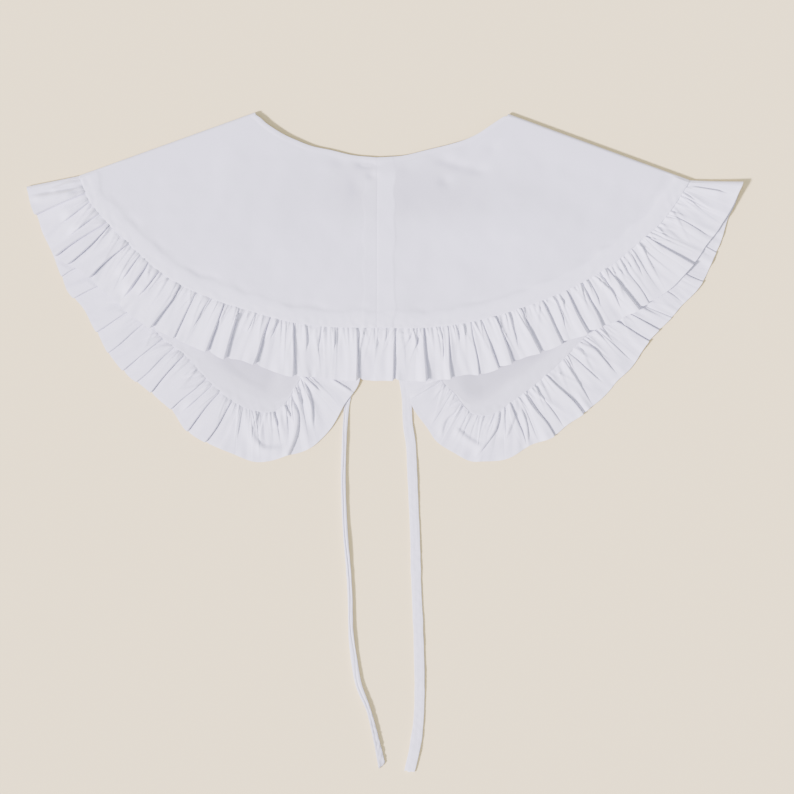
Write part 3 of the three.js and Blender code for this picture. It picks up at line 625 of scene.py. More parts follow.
def body_sections(half):
    """The sections of one half of the body, straight lines in the plan. For each it gives the
    point on the inner edge, the point on the ruffle seam, the angle round the shoulder fold and
    whether it starts on the front edge. From the centre back they run round the neckline and
    then down the front edge, and on the left half the other way, so that the top stays up."""
    back_row = eased(BODY_GRID["back"], 0.55) * (len(BACK_SECTIONS["left"]) - 1)
    turned = fold_angles(BODY_GRID["shoulder"])
    neck_row = np.linspace(0, half.neck_rows, BODY_GRID["neckline"])
    edge_row = np.linspace(0, half.edge_rows + EDGE_END, BODY_GRID["edge"])[1:]
    inner, outer = [half.neck.at_row(back_row)], [half.seam.at_row(back_row)]
    for points in (inner, outer):
        points.append(np.repeat(points[0][-1:], len(turned), axis=0))
    inner += [half.neckline.at_row(neck_row), half.front_seam.at_row(half.front_rows - edge_row)]
    outer += [half.front_seam.at_row(neck_row), half.front_seam.at_row(half.neck_rows + edge_row)]
    front = np.full(len(neck_row) + len(edge_row), -90.0)
    angle = np.concatenate([np.full(len(back_row), 90.0), turned, front])
    by_edge = np.arange(len(angle)) >= len(angle) - len(edge_row)
    sections = [np.concatenate(inner), np.concatenate(outer), angle, by_edge]
    return [values[::-1] for values in sections] if half.side == "left" else sections


class Body:
    """One half of the body as a folded sheet. The columns of its grid are the sections, and its
    rows are places across them. For each place it holds the distances from the ruffle seam and
    from the inner edge and, from 0 to 1, how far the place lies on each of the raised bands."""

    def __init__(self, half):
        self.half = half
        inner, outer, self.angle, by_edge = body_sections(half)
        self.by_edge = by_edge[:, None]
        self.is_back = (self.angle > 0)[:, None]
        across = eased(BODY_GRID["across"], 0.62)[None, :]
        section = outer - inner
        length = np.linalg.norm(section, axis=1)[:, None]
        self.plan = inner[:, None, :] + section[:, None, :] * across[..., None]
        seam_way = np.gradient(outer, axis=0)
        seam_way /= np.maximum(np.linalg.norm(seam_way, axis=1, keepdims=True), 1e-9)
        square = np.abs(section[:, 0] * seam_way[:, 1] - section[:, 1] * seam_way[:, 0])[:, None]
        square = np.clip(square / np.maximum(length, 1e-6), 0.35, 1)
        self.from_seam = (1 - across) * length * square
        self.from_inner = across * length

        self.x, self.y = x, y = self.plan[..., 0], self.plan[..., 1]
        self.wander = 1 + 0.05 * ripple(x, y, 18, 3)
        self.inside = self.from_seam * self.wander - ALLOWANCE
        soft = np.where(self.is_back, 1.2, 3)
        self.allowance = 1 - smoothstep(-soft, soft, self.inside)
        self.rim = np.where(self.by_edge, 0, band(self.from_inner, NECK_RIM, 0.5))
        self.from_centre = np.where(self.is_back, x, 1e3)
        width = CENTRE_SEAM[half.side][0]
        self.centre_band = band(np.abs(self.from_centre) * self.wander, width, 0.6)
        wide, soft, _ = FRONT_SWELL[half.side]
        front_line = half.front_seam.at(np.linspace(0, 1, 260))
        from_edge = np.linalg.norm(self.plan[:, :, None, :] - front_line, axis=3).min(axis=2)
        self.swell = band(from_edge * (1 + 0.22 * ripple(x, y, 44, 8)), wide, soft)
        sag_below = smoothstep(-SAG_DOWN, -NECK_DROP - 6, y)
        self.sag = np.exp(-np.abs(x / SAG_WIDTH) ** 3) * sag_below

    def from_shoulder(self):
        """Distance from the shoulder fold's line in the plan, along its outward normal."""
        corner, outward = self.half.neck.points[-1], self.half.outward
        return (corner[0] - self.x) * outward[0] + (corner[1] - self.y) * outward[1]

    def seam_relief(self):
        """Height of the seams and edges: the allowance behind the ruffle seam with a shallow
        valley beside it, the swell along it, puckers and a narrow dip at the stitches, the
        turned rim of the neckline, the front edge, and the centre back's band and seam."""
        x, y, is_back = self.x, self.y, self.is_back
        from_seam, from_inner = self.from_seam, self.from_inner
        patch = np.clip(0.5 + 0.7 * ripple(x, y, 30, 7), 0, 1)
        valley = np.where(is_back, 0.45, 0) * patch * np.exp(-(((self.inside - 2.4) / 2.6) ** 2))
        height = 0.2 * self.allowance - valley
        height += 0.55 * np.where(is_back, band(from_seam * self.wander, 11, 4.5), 0)
        height += np.where(is_back, 0, FRONT_SWELL[self.half.side][2] * self.swell)
        pucker = np.exp(-from_seam / 4.5) * (1 - np.exp(-from_seam / 0.8))
        height += 0.16 * pucker * ripple(x, y, 6.5, 5)
        height -= 0.12 * np.exp(-((from_seam / 0.6) ** 2))
        height += self.rim * (0.22 + 0.08 * ripple(x, y, 22, 6))
        height -= np.where(self.by_edge, 0, 0.24 * np.exp(-((from_inner / 0.45) ** 2)))
        height += np.where(self.by_edge, 0.3 * band(from_inner, 1.5, 1.5), 0)
        height += CENTRE_SEAM[self.half.side][1] * self.centre_band
        height -= 0.14 * np.exp(-((self.from_centre / 0.6) ** 2))
        return height

    def relief(self):
        """Height of the cloth over its flat layer: the seams, then the soft waves, and on the
        back the hollows and the sag between the fronts. What lies below 0 goes no deeper than
        SINK_LIMIT, as -SINK_LIMIT tanh(depth / SINK_LIMIT). The small dents come last."""
        x, y, is_back = self.x, self.y, self.is_back
        height = self.seam_relief()
        flat = smoothstep(0, 14, self.from_seam) * smoothstep(0, 8, self.from_inner)
        flat = flat * smoothstep(0, 22, self.from_shoulder())
        height -= np.where(is_back, patches(HOLLOWS, x, y) * flat, 0)
        height += 0.16 * ripple(x, y, 46, 11) * flat + 0.07 * ripple(x, y, 17, 12) * flat
        height -= np.where(is_back, SAG_DEPTH * self.sag, 0)
        height = np.where(height < 0, -SINK_LIMIT * np.tanh(-height / SINK_LIMIT), height)
        dents = patches(DENTS, x, y) * smoothstep(1.5, 5, self.from_inner)
        on_back = np.maximum(height - dents, -FLOOR_LIMIT)
        height = np.where(is_back, on_back, np.maximum(height, -0.05))
        return np.where(np.abs(self.angle)[:, None] < 89, 0, height)

    def layers(self):
        """How much cloth lies at each place, from 0 to 1, with painted shade and painted light worked
        in.
        The back is mostly double, over the fronts, and whiter on its seam bands; painted shade greys
        it over its sag between the fronts and on its listed patches, some of which are whitened
        instead as painted light. The fronts are single, and whiter on the swell."""
        white = CENTRE_SEAM[self.half.side][2]
        centre_light = self.centre_band * smoothstep(-34, -46, self.y) * white
        # Painted shade: the sag and the listed patches grey the back's colour, standing in for the
        # shade on its sag; patches below 0 are painted light.
        painted_shade = (0.1 * self.sag + patches(PAINTED_SHADE_AND_LIGHT, self.x, self.y)) * (1 - centre_light)
        layers = 0.1 * self.rim + 0.16 * np.maximum(centre_light, 1.5 * self.allowance)
        on_back = 0.64 - painted_shade * (1 - self.allowance)
        layers += np.where(self.is_back, on_back, 0.02 + 0.28 * self.swell)
        return np.clip(layers, 0, 1)


def stand_in(made, node):
    """Lets a finished piece take the place of a CAD node on the one body that there is."""
    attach(made, "root")
    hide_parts(node)


def make_body(half):
    """One half of the body, with its two layers joined by the fold at the shoulder. The halves
    meet at the centre back with a narrow slit between them."""
    body = Body(half)
    levels = BACK_BODY_LEVEL, FRONT_BODY_LEVEL
    surface = fold_round(body.plan, half.outward, body.angle, *levels, body.relief())
    at_centre = body.is_back & (np.abs(body.x) < 0.06)
    surface[..., 0] = np.where(at_centre, half.sign * 0.05, surface[..., 0])
    uv = body.plan + np.where(body.is_back, 0, FRONT_WEAVE_SHIFT)[..., None]
    name = f"{half.side}_body_cloth"
    made = grid_mesh(name, surface, normals_of(surface), BODY_WALL, uv, body.layers())
    stand_in(made, f"body_{half.side}")
    return made


class Strip:
    """The ruffle's columns in strip order, from the left front's neck corner round the back to
    the right one. Each column has its point on the seam and on the hem, its angle round the
    shoulder fold, and its places along the seam and the hem counted from the centre back."""

    def __init__(self, halves):
        parts = [self.columns(half) for half in halves]
        left = [values[::-1] for values in parts[0]]
        right = [values[1:] for values in parts[1]]
        joined = [np.concatenate(pair) for pair in zip(left, right)]
        self.seam, self.hem, self.angle, self.seam_place, self.hem_place = joined[:5]
        self.lift, self.outward = joined[5:]
        self.is_back = self.angle > 0
        self.turned = np.abs(self.angle) < 89.5
        self.lane = (self.seam_place + self.hem_place)[:, None] / 2
        way = self.hem - self.seam
        self.reach = np.linalg.norm(way, axis=1, keepdims=True)
        self.way = way / self.reach
        folds = self.hem_place[self.turned]
        left, right = folds[folds < 0].mean(), folds[folds > 0].mean()
        off = np.abs(self.hem_place - left), np.abs(self.hem_place - right)
        self.from_shoulders = np.minimum(*off)
        self.calm = np.minimum(1, self.from_shoulders / 9)[:, None]

    def columns(self, half):
        """One half from the centre back to the neck corner: the back, the turn at the shoulder
        and the front. Between two folds the columns lie closer together near the folds."""
        ends = 1 - TIE_ROOM / half.front_seam.length, 1 - HEM_ROOM / half.front_hem.length
        back = self.stations(BACK_FOLDS[half.side], (1, 1), half.back_hem.length)
        front = self.stations(FRONT_FOLDS[half.side], ends, half.front_hem.length)
        angles = fold_angles(RUFFLE_TURN_COLUMNS)
        bend = RUFFLE_RADIUS * np.radians(90 - angles)

        seam, hem = half.seam.at(back[0]), half.back_hem.at(back[1])
        places = back[0] * half.seam.length, back[1] * half.back_hem.length
        stretches = [(seam, hem, np.full(len(seam), 90.0), *places, np.zeros(len(seam)))]
        last = [places[0][-1], places[1][-1]]
        repeated = [np.repeat(points[-1:], len(angles), axis=0) for points in (seam, hem)]
        places = last[0] + bend, last[1] + bend
        stretches.append((*repeated, angles, *places, np.zeros(len(angles))))
        seam, hem = half.front_seam.at(front[0]), half.front_hem.at(front[1])
        places = [
            last[0] + RUFFLE_TURN + front[0] * half.front_seam.length,
            last[1] + RUFFLE_TURN + front[1] * half.front_hem.length,
        ]
        rows = half.front_hem.row_of(front[1])
        lift = np.interp(rows, np.arange(len(half.lift)), half.lift)
        stretches.append((seam, hem, np.full(len(seam), -90.0), *places, lift))
        seam, hem, angle, seam_place, hem_place, lift = (np.concatenate(c) for c in zip(*stretches))
        outward = np.repeat(half.outward[None], len(seam), axis=0)
        return [seam, hem, angle, half.sign * seam_place, half.sign * hem_place, lift, outward]

    def stations(self, folds, ends, hem_length):
        """Shares along the seam and the hem of the columns of one stretch."""
        fold = named(FOLD_COLUMNS, folds)
        knots = [
            np.concatenate([[0], fold["seam"][fold["seam"] > 0.01], [ends[0]]]),
            np.concatenate([[0], fold["hem"][fold["seam"] > 0.01], [ends[1]]]),
        ]
        knots[1] = np.maximum.accumulate(knots[1])
        ways = []
        for k, gap in enumerate(np.diff(knots[1]) * hem_length):
            count = max(6, round(gap / COLUMN_STEP))
            ways.append(k + eased(count + 1, 0.4)[:-1])
        way = np.concatenate([*ways, [len(knots[0]) - 1]])
        return [np.interp(way, np.arange(len(knot)), knot) for knot in knots]


def fold_places(halves):
    """All main folds of the ruffle in strip order: places along the seam and the hem, rise in
    millimetres, reach, the side of the raised facet, 1 where it comes before the fold and -1
    where it comes after, the width of its steep side as a share of its height, and how crisp
    its foot is. Every raised facet is on the left as the collar is seen. The more a fold runs
    like the long folds of the left tip, the higher, steeper and crisper it is."""
    rows = []
    for half in halves:
        front_start = half.seam.length + RUFFLE_TURN, half.back_hem.length + RUFFLE_TURN
        layers = (
            ("back", BACK_FOLDS, (0, 0), half.seam, half.back_hem),
            ("front", FRONT_FOLDS, front_start, half.front_seam, half.front_hem),
        )
        for layer, table, start, seam_line, hem_line in layers:
            fold = named(FOLD_COLUMNS, table[half.side])
            seam = half.sign * (start[0] + fold["seam"] * seam_line.length)
            hem = half.sign * (start[1] + fold["hem"] * hem_line.length)
            run = hem_line.at(fold["hem"]) - seam_line.at(fold["seam"])
            run /= np.linalg.norm(run, axis=1, keepdims=True)
            off = np.abs(run[:, 0] * TIP_FOLD_WAY[1] - run[:, 1] * TIP_FOLD_WAY[0])
            if layer == "back":
                raised, steep = 1.0, 0.2 + 0.62 * off**1.4
                rise = fold["rise"] * RISE["back"] * (1.6 - 0.6 * off)
            else:
                raised, steep = -1.0, 0.28 + 0.17 * off
                rise = fold["rise"] * RISE[f"{half.side} front"] * (1.2 - 0.2 * off)
            raised = np.full(len(seam), raised)
            rows.append(np.stack([seam, hem, rise, fold["reach"], raised, steep, 1.7 - 0.7 * off]))
    joined = np.concatenate(rows, axis=1)
    return joined[:, np.argsort(joined[0])]


def step_shape(u, facet, width):
    """A fold seen end on, 1 high: it rises as a bell of the facet's width up to u = 0, and falls
    from there to the given width, 0.6 of it evenly and 0.4 as 3t^2 - 2t^3."""
    bell = np.exp(-((np.minimum(u, 0) / facet) ** 2))
    fall = 0.6 * np.clip(u / width, 0, 1) + 0.4 * smoothstep(0, width, u)
    return bell * (1 - fall)


def fold_height(u, size, facet, fall, crisp=1):
    """Height of a fold of that size, with a narrow groove along its foot: crisp times 0.6 of
    the size, but no more than crisp times 1.2 mm."""
    groove = np.exp(-(((u - fall) / 0.5) ** 2))
    return size * step_shape(u, facet, fall) - crisp * np.minimum(0.6 * size, 1.2) * groove


def crease_relief(creases, plan):
    """Height of the single creases: each is a small fold like the main ones along a smooth
    line, and fades out over a quarter of its length at either end. The wider its steep side,
    the less of a groove it has."""
    height = np.zeros(plan.shape[:2])
    share = np.linspace(0, 1, 80)
    fade = smoothstep(0, 0.25, share) * smoothstep(0, 0.25, 1 - share)
    for rise, fall, points in creases:
        line = Curve(points).at(share)
        way = np.gradient(line, axis=0)
        foot = np.stack([-way[:, 1], way[:, 0]], axis=1)
        foot /= np.linalg.norm(foot, axis=1, keepdims=True)
        near = ((plan > line.min(axis=0) - 7) & (plan < line.max(axis=0) + 7)).all(axis=2)
        gap = plan[near][:, None, :] - line
        nearest = np.argmin((gap**2).sum(axis=2), axis=1)
        u = (gap[np.arange(len(nearest)), nearest] * foot[nearest]).sum(axis=1)
        size = rise * fade[nearest]
        height[near] += fold_height(u, size, 1.4 + fall, fall, 0.45 / fall)
    return height


def fold_relief(strip, folds, down):
    """Height, sideways slide and lengthening of the ruffle's cloth at its main folds. A share of
    a fold's rise comes right at the seam, less of it on the left front, and the rest grows as
    down^0.8 towards the hem. Its edge slides a little over its foot. The cloth is longer on the
    raised facet and shorter beyond the foot, by a share of the fold's size times down^3. That
    share is smaller on the fronts, and on the back beyond 205 mm of the hem, near the tips."""
    seam, hem, rise, reach, raised, steep, crisp = folds
    early = np.where((raised < 0) & (seam < 0), 0.18, 0.36)
    stretch = np.where(raised > 0, 0.3 - 0.22 * smoothstep(205, 235, np.abs(hem)), 0.12)
    gap = np.diff(seam), np.diff(hem)
    before = [np.concatenate([[END_ROOM], g]) for g in gap]
    after = [np.concatenate([g, [END_ROOM]]) for g in gap]
    free = [np.where(raised > 0, b, a) for b, a in zip(before, after)]
    facet = [np.clip(0.55 * f, low, high) for f, low, high in zip(free, (1.2, 2.4), (4, 8))]
    height = np.zeros((len(strip.seam), len(down)))
    slide = np.zeros_like(height)
    longer = np.zeros_like(height)
    for k in range(len(seam)):
        near = np.abs(strip.hem_place - hem[k]) < FOLD_REACH
        near |= np.abs(strip.seam_place - seam[k]) < FOLD_REACH
        centre = mix(seam[k], hem[k], down)
        place = mix(strip.seam_place[near, None], strip.hem_place[near, None], down[None, :])
        u = raised[k] * (place - centre)
        wide = mix(facet[0][k], facet[1][k], down)
        fade = 1 if reach[k] > 0.97 else 1 - smoothstep(0.7 * reach[k], 1.1 * reach[k], down)
        grow = early[k] * (1 - np.exp(-down / 0.045)) + (1 - early[k]) * down**0.8
        size = rise[k] * grow * fade
        fall = np.maximum(size * steep[k], 0.5)
        shape = step_shape(u, wide[None, :], fall[None, :])
        height[near] += fold_height(u, size, wide, fall, crisp[k])
        top = np.exp(-(((u + 0.3) / 0.9) ** 2))
        slide[near] += raised[k] * size * 0.2 * top
        notch = np.exp(-(((u - fall - 0.7) / 1.4) ** 2))
        longer[near] += size * stretch[k] * (shape - notch)
    return height, slide, longer * down[None, :] ** 3


def sway(strip, folds, down):
    """Sideways bend of the ruffle, in millimetres: A sin(pi down) + B sin(2 pi down), with A and
    B drawn for each fold and running evenly from one fold to the next."""
    draw = np.random.default_rng(17)
    count = folds.shape[1]
    first = np.interp(strip.seam_place, folds[0], draw.normal(0, 0.55, count))
    second = np.interp(strip.seam_place, folds[0], draw.normal(0, 0.35, count))
    once, twice = np.sin(np.pi * down), np.sin(2 * np.pi * down)
    return first[:, None] * once + second[:, None] * twice


def gather_relief(strip, down):
    """Fine gathers at the seam: small folds like the main ones, each with its own height, lean
    and reach, drawn from a seed. Those of the second row of GATHERS are lower and lie closer."""
    draw = np.random.default_rng(21)
    first, last = strip.seam_place.min(), strip.seam_place.max()
    order = np.argsort(strip.seam_place)
    height = np.zeros((len(strip.seam), len(down)))
    for step, low, high, short, long in GATHERS:
        count = int((last - first) / step)
        seam = np.linspace(first, last, count) + draw.uniform(-0.42, 0.42, count) * step
        hem = np.interp(seam, strip.seam_place[order], strip.hem_place[order])
        hem = hem + draw.normal(0, 8, count)
        rise = draw.uniform(low, high, count)
        reach = draw.uniform(short, long, count)
        raised = np.where(draw.random(count) < 0.75, 1, -1)
        wide = draw.uniform(0.9, 1.7, count)
        for k in range(count):
            near = np.abs(strip.seam_place - seam[k]) < 14
            place = mix(strip.seam_place[near, None], strip.hem_place[near, None], down[None, :])
            u = place - mix(seam[k], hem[k], down)[None, :]
            side = np.where(strip.is_back[near, None], raised[k], -raised[k])
            size = rise[k] * (1 - np.exp(-down / 0.07)) * np.exp(-((down / reach[k]) ** 2))
            fall = np.maximum(0.55 * size, 0.42)
            facet = wide[k] * (1 + 2 * down)
            height[near] += size * step_shape(side * u, facet[None, :], fall[None, :])
    return height


def soft_waves(strip, down):
    """Unevenness of the ruffle between its folds: two rows of soft waves, and thin creases where
    a third soft noise passes through 0."""
    waves = 0.26 * ripple(strip.lane, down[None, :] * 7, 11, 31) * down**0.6
    waves += 0.13 * ripple(strip.lane, down[None, :] * 9, 5.5, 32) * (0.5 + 0.5 * down)
    crinkle = np.abs(ripple(strip.lane, down[None, :] * 6, 13, 33))
    waves -= 0.22 * (1 - smoothstep(0, 0.3, crinkle)) * (1 - 0.6 * down)
    return waves


def fullness(is_back, x, down):
    """Height that makes the ruffle fuller towards the left tip, on the lower part of its width.
    The left front leaves its seam lower instead."""
    fuller = [most * smoothstep(start, end, x) for start, end, most in (FULLER_BACK, FULLER_FRONT)]
    low_seam = np.where(is_back | (x > 0), 0, 0.6 * (1 - smoothstep(0, 0.3, down)))
    return np.where(is_back, *fuller) * smoothstep(0.15, 0.6, down) - low_seam


def room_above(halves, plan):
    """How high the front ruffle may rise: less where the back ruffle lies over it."""
    x, y = plan[..., 0], plan[..., 1]
    hems = [half.back_hem.points[::20] for half in halves]
    level = [np.interp(np.abs(x), np.abs(hem[:, 0]), hem[:, 1]) for hem in hems]
    covered = smoothstep(-4, -1, y - np.where(x < 0, *level))
    return mix(3.4, 2.7, covered)


def ruffle_plan(strip, down, slide, longer):
    """The ruffle in the plan, and how far each place is along its line. The lines are straight,
    from just under the body's edge to the hem. They are made longer and moved sideways where the
    folds say so, which fades out at the shoulder folds."""
    along = np.gradient(strip.seam, axis=0) + np.gradient(strip.hem, axis=0)
    along[strip.turned] = strip.outward[strip.turned]
    along /= np.maximum(np.linalg.norm(along, axis=1, keepdims=True), 1e-9)
    drift = 0.5 * ripple(strip.lane, 0, 23, 41) * down**3
    run = down[None, :] * (strip.reach + RUFFLE_TUCK) + (longer + drift) * strip.calm
    start = strip.seam - RUFFLE_TUCK * strip.way
    plan = start[:, None, :] + run[..., None] * strip.way[:, None, :]
    slide = slide * strip.calm * np.where(strip.turned, 0, 1)[:, None]
    return plan + slide[..., None] * along[:, None, :], run


def ruffle_relief(strip, halves, down, folded, plan):
    """Height of the ruffle over its flat layer: the main folds and single creases, the gathers
    and soft waves, a puff where the cloth leaves the seam, and the turned hem. The front layer
    is 0.8 mm higher and kept under the back one, and it lifts where it lies over a tie."""
    is_back, calm = strip.is_back[:, None], strip.calm
    from_hem = (1 - down) * strip.reach
    creases = [crease_relief(rows, plan) for rows in (BACK_CREASES, FRONT_CREASES)]
    height = folded + np.where(is_back, *creases)
    puff = 0.45 * (1 - np.exp(-down / 0.05)) * (1 - 0.7 * down)
    lift = strip.lift[:, None] * smoothstep(0.1, 0.7, down)[None, :]
    uneven = height + gather_relief(strip, down) + soft_waves(strip, down)
    relief = uneven * calm * (1 - 0.5 * lift) + puff[None, :] * calm
    hem_line = np.exp(-(((from_hem - HEM_TURN) / 0.4) ** 2))
    relief += 0.1 * calm * (band(from_hem, HEM_TURN, 0.25) - hem_line)
    relief += fullness(is_back, plan[..., 0], down) * calm
    raised = np.clip(relief + 0.8 * calm, -0.05, room_above(halves, plan))
    relief = np.where(is_back, np.maximum(relief, -0.6), raised)
    relief = relief + TIE_LIFT * lift
    return np.where(strip.turned[:, None], 0, relief)


def ruffle_surface(strip, down, plan, relief):
    """The ruffle in space, laid on its layers as fold_round does. Near a shoulder fold the half
    circle is wider by half the tip's lift, times down^1.5."""
    turn = np.radians(strip.angle)[:, None]
    tip = np.where(strip.seam_place > 0, TIP_LIFT["right"], TIP_LIFT["left"])
    tip = (tip * np.exp(-((strip.from_shoulders / 15) ** 2)))[:, None] * down[None, :] ** 1.5
    radius = (BACK_RUFFLE_LEVEL + tip - FRONT_RUFFLE_LEVEL) / 2
    flat = plan + (radius * np.cos(turn))[..., None] * strip.outward[:, None, :]
    level = FRONT_RUFFLE_LEVEL + radius * (1 + np.sin(turn)) + relief
    return np.concatenate([flat, level[..., None]], axis=2)


def make_ruffle(halves):
    """The ruffle as one surface, cut into a left and a right strip at the centre back."""
    strip = Strip(halves)
    folds = fold_places(halves)
    t = np.linspace(0, 1, RUFFLE_ROWS)
    down = 0.42 * t + 0.58 * t**1.7
    folded, slide, longer = fold_relief(strip, folds, down)
    plan, run = ruffle_plan(strip, down, slide + sway(strip, folds, down), longer)
    relief = ruffle_relief(strip, halves, down, folded, plan)
    surface = ruffle_surface(strip, down, plan, relief)

    arc = np.cumsum(np.linalg.norm(np.gradient(surface[:, -1], axis=0), axis=1))
    uv = np.stack(np.broadcast_arrays(arc[:, None], run), axis=-1)
    turned_hem = band((1 - down) * strip.reach, HEM_TURN, 0.25)
    # Painted light: the single ruffle cloth is toned near double cloth, standing in for the light on
    # its facets; the turned hem is whiter for its double cloth.
    layers = 0.1 * turned_hem + np.where(strip.is_back, 0.95, 0.88)[:, None]
    normal = normals_of(surface)
    middle = np.searchsorted(strip.seam_place, 0)
    made = []
    for side, part in (("left", slice(0, middle + 1)), ("right", slice(middle, None))):
        name = f"{side}_ruffle_cloth"
        cloth = grid_mesh(name, surface[part], normal[part], RUFFLE_WALL, uv[part], layers[part])
        stand_in(cloth, "ruffle")
        made.append(cloth)
    return made


def cloth_area(piece):
    """Half the area of a closed sheet, in square metres: one side of it."""
    return sum(face.area for face in piece.data.polygons) / 2


def tube_faces(count, ring):
    """Faces of a closed tube of so many rings with so many points each: its side, and its two
    flat ends, where each point is joined to the one across from it."""
    at = np.arange(count * ring).reshape(count, ring)
    beside = np.roll(at, -1, axis=1)
    sides = np.stack([at[:-1], beside[:-1], beside[1:], at[1:]], axis=-1).reshape(-1, 4)
    low = np.arange(ring // 2)
    high = ring - 1 - low
    ends = [
        np.stack([at[row, low[:-1]], at[row, low[1:]], at[row, high[1:]], at[row, high[:-1]]], axis=-1)
        for row in (0, -1)
    ]
    return np.concatenate([sides, ends[0][:, ::-1], ends[1]])


def facing_out(points, faces):
    """The faces of a closed shape, all turned round if they enclose less than no volume."""
    corner = points[faces]
    volume = np.einsum("ij,ij->i", corner[:, 0], np.cross(corner[:, 1], corner[:, 2])).sum()
    return faces if volume > 0 else faces[:, ::-1]


def along_tie(table, side, share):
    """The values of a tie's table at those shares of its length, evenly between its rows."""
    return np.interp(share, *zip(*table[side]))


def tie_level(side, place, share, out, up, wall, crease):
    """Height of a tie's points: half its wall times 1 + up, lifted and tilted a little along the
    way, less the wandering crease and the two thin lines of its edges, and roughened. The last
    three are on the upper side alone."""
    seed = TIE_SEEDS[side]
    upper = up > 0
    lift = 0.28 * np.maximum(ripple(place, 0, 34, seed + 2), 0)[:, None]
    tilt = 0.12 * ripple(place, 0, 21, seed + 3)[:, None] * out
    wander = 0.1 + 0.25 * ripple(place, 0, 45, seed + 5)[:, None]
    groove = crease * np.exp(-(((out[None, :] - wander) / 0.22) ** 2)) * upper
    groove *= along_tie(TIE_CREASES, side, share)[:, None]
    edge_line = 0.1 * np.exp(-(((np.abs(out)[None, :] - 0.72) / 0.08) ** 2)) * upper
    rough = along_tie(TIE_ROUGHNESS, side, share)[:, None] * upper
    rough = rough * ripple(place[:, None], 1.6 * out[None, :], 2.6, seed + 6)
    tall = along_tie(TIE_HEIGHTS, side, share)[:, None]
    level = wall / 2 * tall * (1 + up)[None, :] + 0.05 + lift * tall + np.abs(tilt)
    return level - groove * tall - edge_line + rough


def make_tie(side, width, wall, crease, slant):
    """A flat tie carried along its route on the surface. Its section is a flattened oval: across
    by width/2 |cos a|^0.85 and up by wall/2 |sin a|^0.35, with the signs of cos a and sin a. The
    crease is a groove along it, and the raw end is slanted by so many millimetres."""
    curve = Curve(TIE_ROUTES[side])
    count = int(curve.length / TIE_STEP)
    share = np.linspace(0, 1, count)
    place = share * curve.length
    centre = curve.at(share)
    along = np.gradient(centre, axis=0)
    along /= np.linalg.norm(along, axis=1, keepdims=True)
    across = np.stack([-along[:, 1], along[:, 0]], axis=1)
    seed = TIE_SEEDS[side]
    slid = 0.12 * ripple(place, 0, 30, seed) + along_tie(TIE_SLIDES, side, share)
    slid = np.convolve(np.pad(slid, 12, mode="edge"), np.ones(25) / 25, mode="valid")
    centre = centre + slid[:, None] * across
    broad = along_tie(TIE_WIDTHS, side, share) * width / 2
    broad = broad * (1 + 0.02 * ripple(place, 0, 12, seed + 1))

    turn = np.linspace(0, 2 * np.pi, TIE_RING + 1)[:-1]
    out = np.sign(np.cos(turn)) * np.abs(np.cos(turn)) ** 0.85
    up = np.sign(np.sin(turn)) * np.abs(np.sin(turn)) ** 0.35
    level = tie_level(side, place, share, out, up, wall, crease)
    threads = np.random.default_rng(seed + 4).normal(size=TIE_RING)
    frayed = 0.35 * threads * (share > 0.996)[:, None]
    end = slant * smoothstep(0.9, 1, share)[:, None] * out[None, :] + frayed
    sideways = broad[:, None] * out[None, :]
    plan = centre[:, None, :] + sideways[..., None] * across[:, None, :]
    plan = plan + end[..., None] * along[:, None, :]
    points = np.concatenate([plan, level[..., None]], axis=2).reshape(-1, 3)

    faces = facing_out(points, tube_faces(count, TIE_RING))
    uv = np.stack(np.broadcast_arrays(place[:, None], sideways), axis=-1).reshape(-1, 2)
    # Painted shade: the left tie's tone falls towards its end, standing in for the shade there.
    layers = np.repeat(along_tie(TIE_CLOTH_AND_SHADE, side, share), TIE_RING)
    made = mesh_object(f"{side}_tie_cloth", points, faces, uv, layers)
    stand_in(made, f"tie_{side}")
    path = np.column_stack([centre, np.full(count, wall / 2)])
    path = (path + PLACE) * METRES
    length = np.linalg.norm(np.diff(path, axis=0), axis=1).sum()
    return made


class Wire:
    """A socket's value in a material, so that sums on it add the Math nodes that work them out."""

    def __init__(self, shader, socket):
        self.shader, self.socket = shader, socket

    def sum(self, operation, *values):
        """A Math node's result."""
        return self.shader.node("ShaderNodeMath", {"operation": operation}, *values)

    def __add__(self, other):
        return self.sum("ADD", self, other)

    def __mul__(self, other):
        return self.sum("MULTIPLY", self, other)

    def sine(self):
        return self.sum("SINE", self)


class Shader:
    """A material under construction, with its one Principled BSDF."""

    def __init__(self, name, **fixed):
        self.material = bpy.data.materials.new(name)
        self.material.use_nodes = True
        self.tree = self.material.node_tree
        self.surface = self.tree.nodes["Principled BSDF"]
        for socket, value in fixed.items():
            self.surface.inputs[socket.replace("_", " ")].default_value = value

    def node(self, kind, settings=None, *values, output=0, at=None, **named_values):
        """A node of that kind: its settings, then the values or links of its first sockets, of
        those at given places and of those with given names."""
        made = self.tree.nodes.new(kind)
        for key, value in (settings or {}).items():
            setattr(made, key, value)
        named_pairs = [(name.replace("_", " "), value) for name, value in named_values.items()]
        pairs = [*enumerate(values), *(at or {}).items(), *named_pairs]
        for key, value in pairs:
            if isinstance(value, Wire):
                self.tree.links.new(value.socket, made.inputs[key])
            else:
                made.inputs[key].default_value = value
        return Wire(self, made.outputs[output])

    def feed(self, socket, wire):
        """Links a result to a socket of the Principled BSDF."""
        self.tree.links.new(wire.socket, self.surface.inputs[socket])

    def blend(self, share, a, b, way="MIX"):
        """The colour at that share of the way from colour a to colour b, or to their product."""
        settings = {"data_type": "RGBA", "blend_type": way}
        return self.node("ShaderNodeMix", settings, at={0: share, 6: a, 7: b}, output=2)


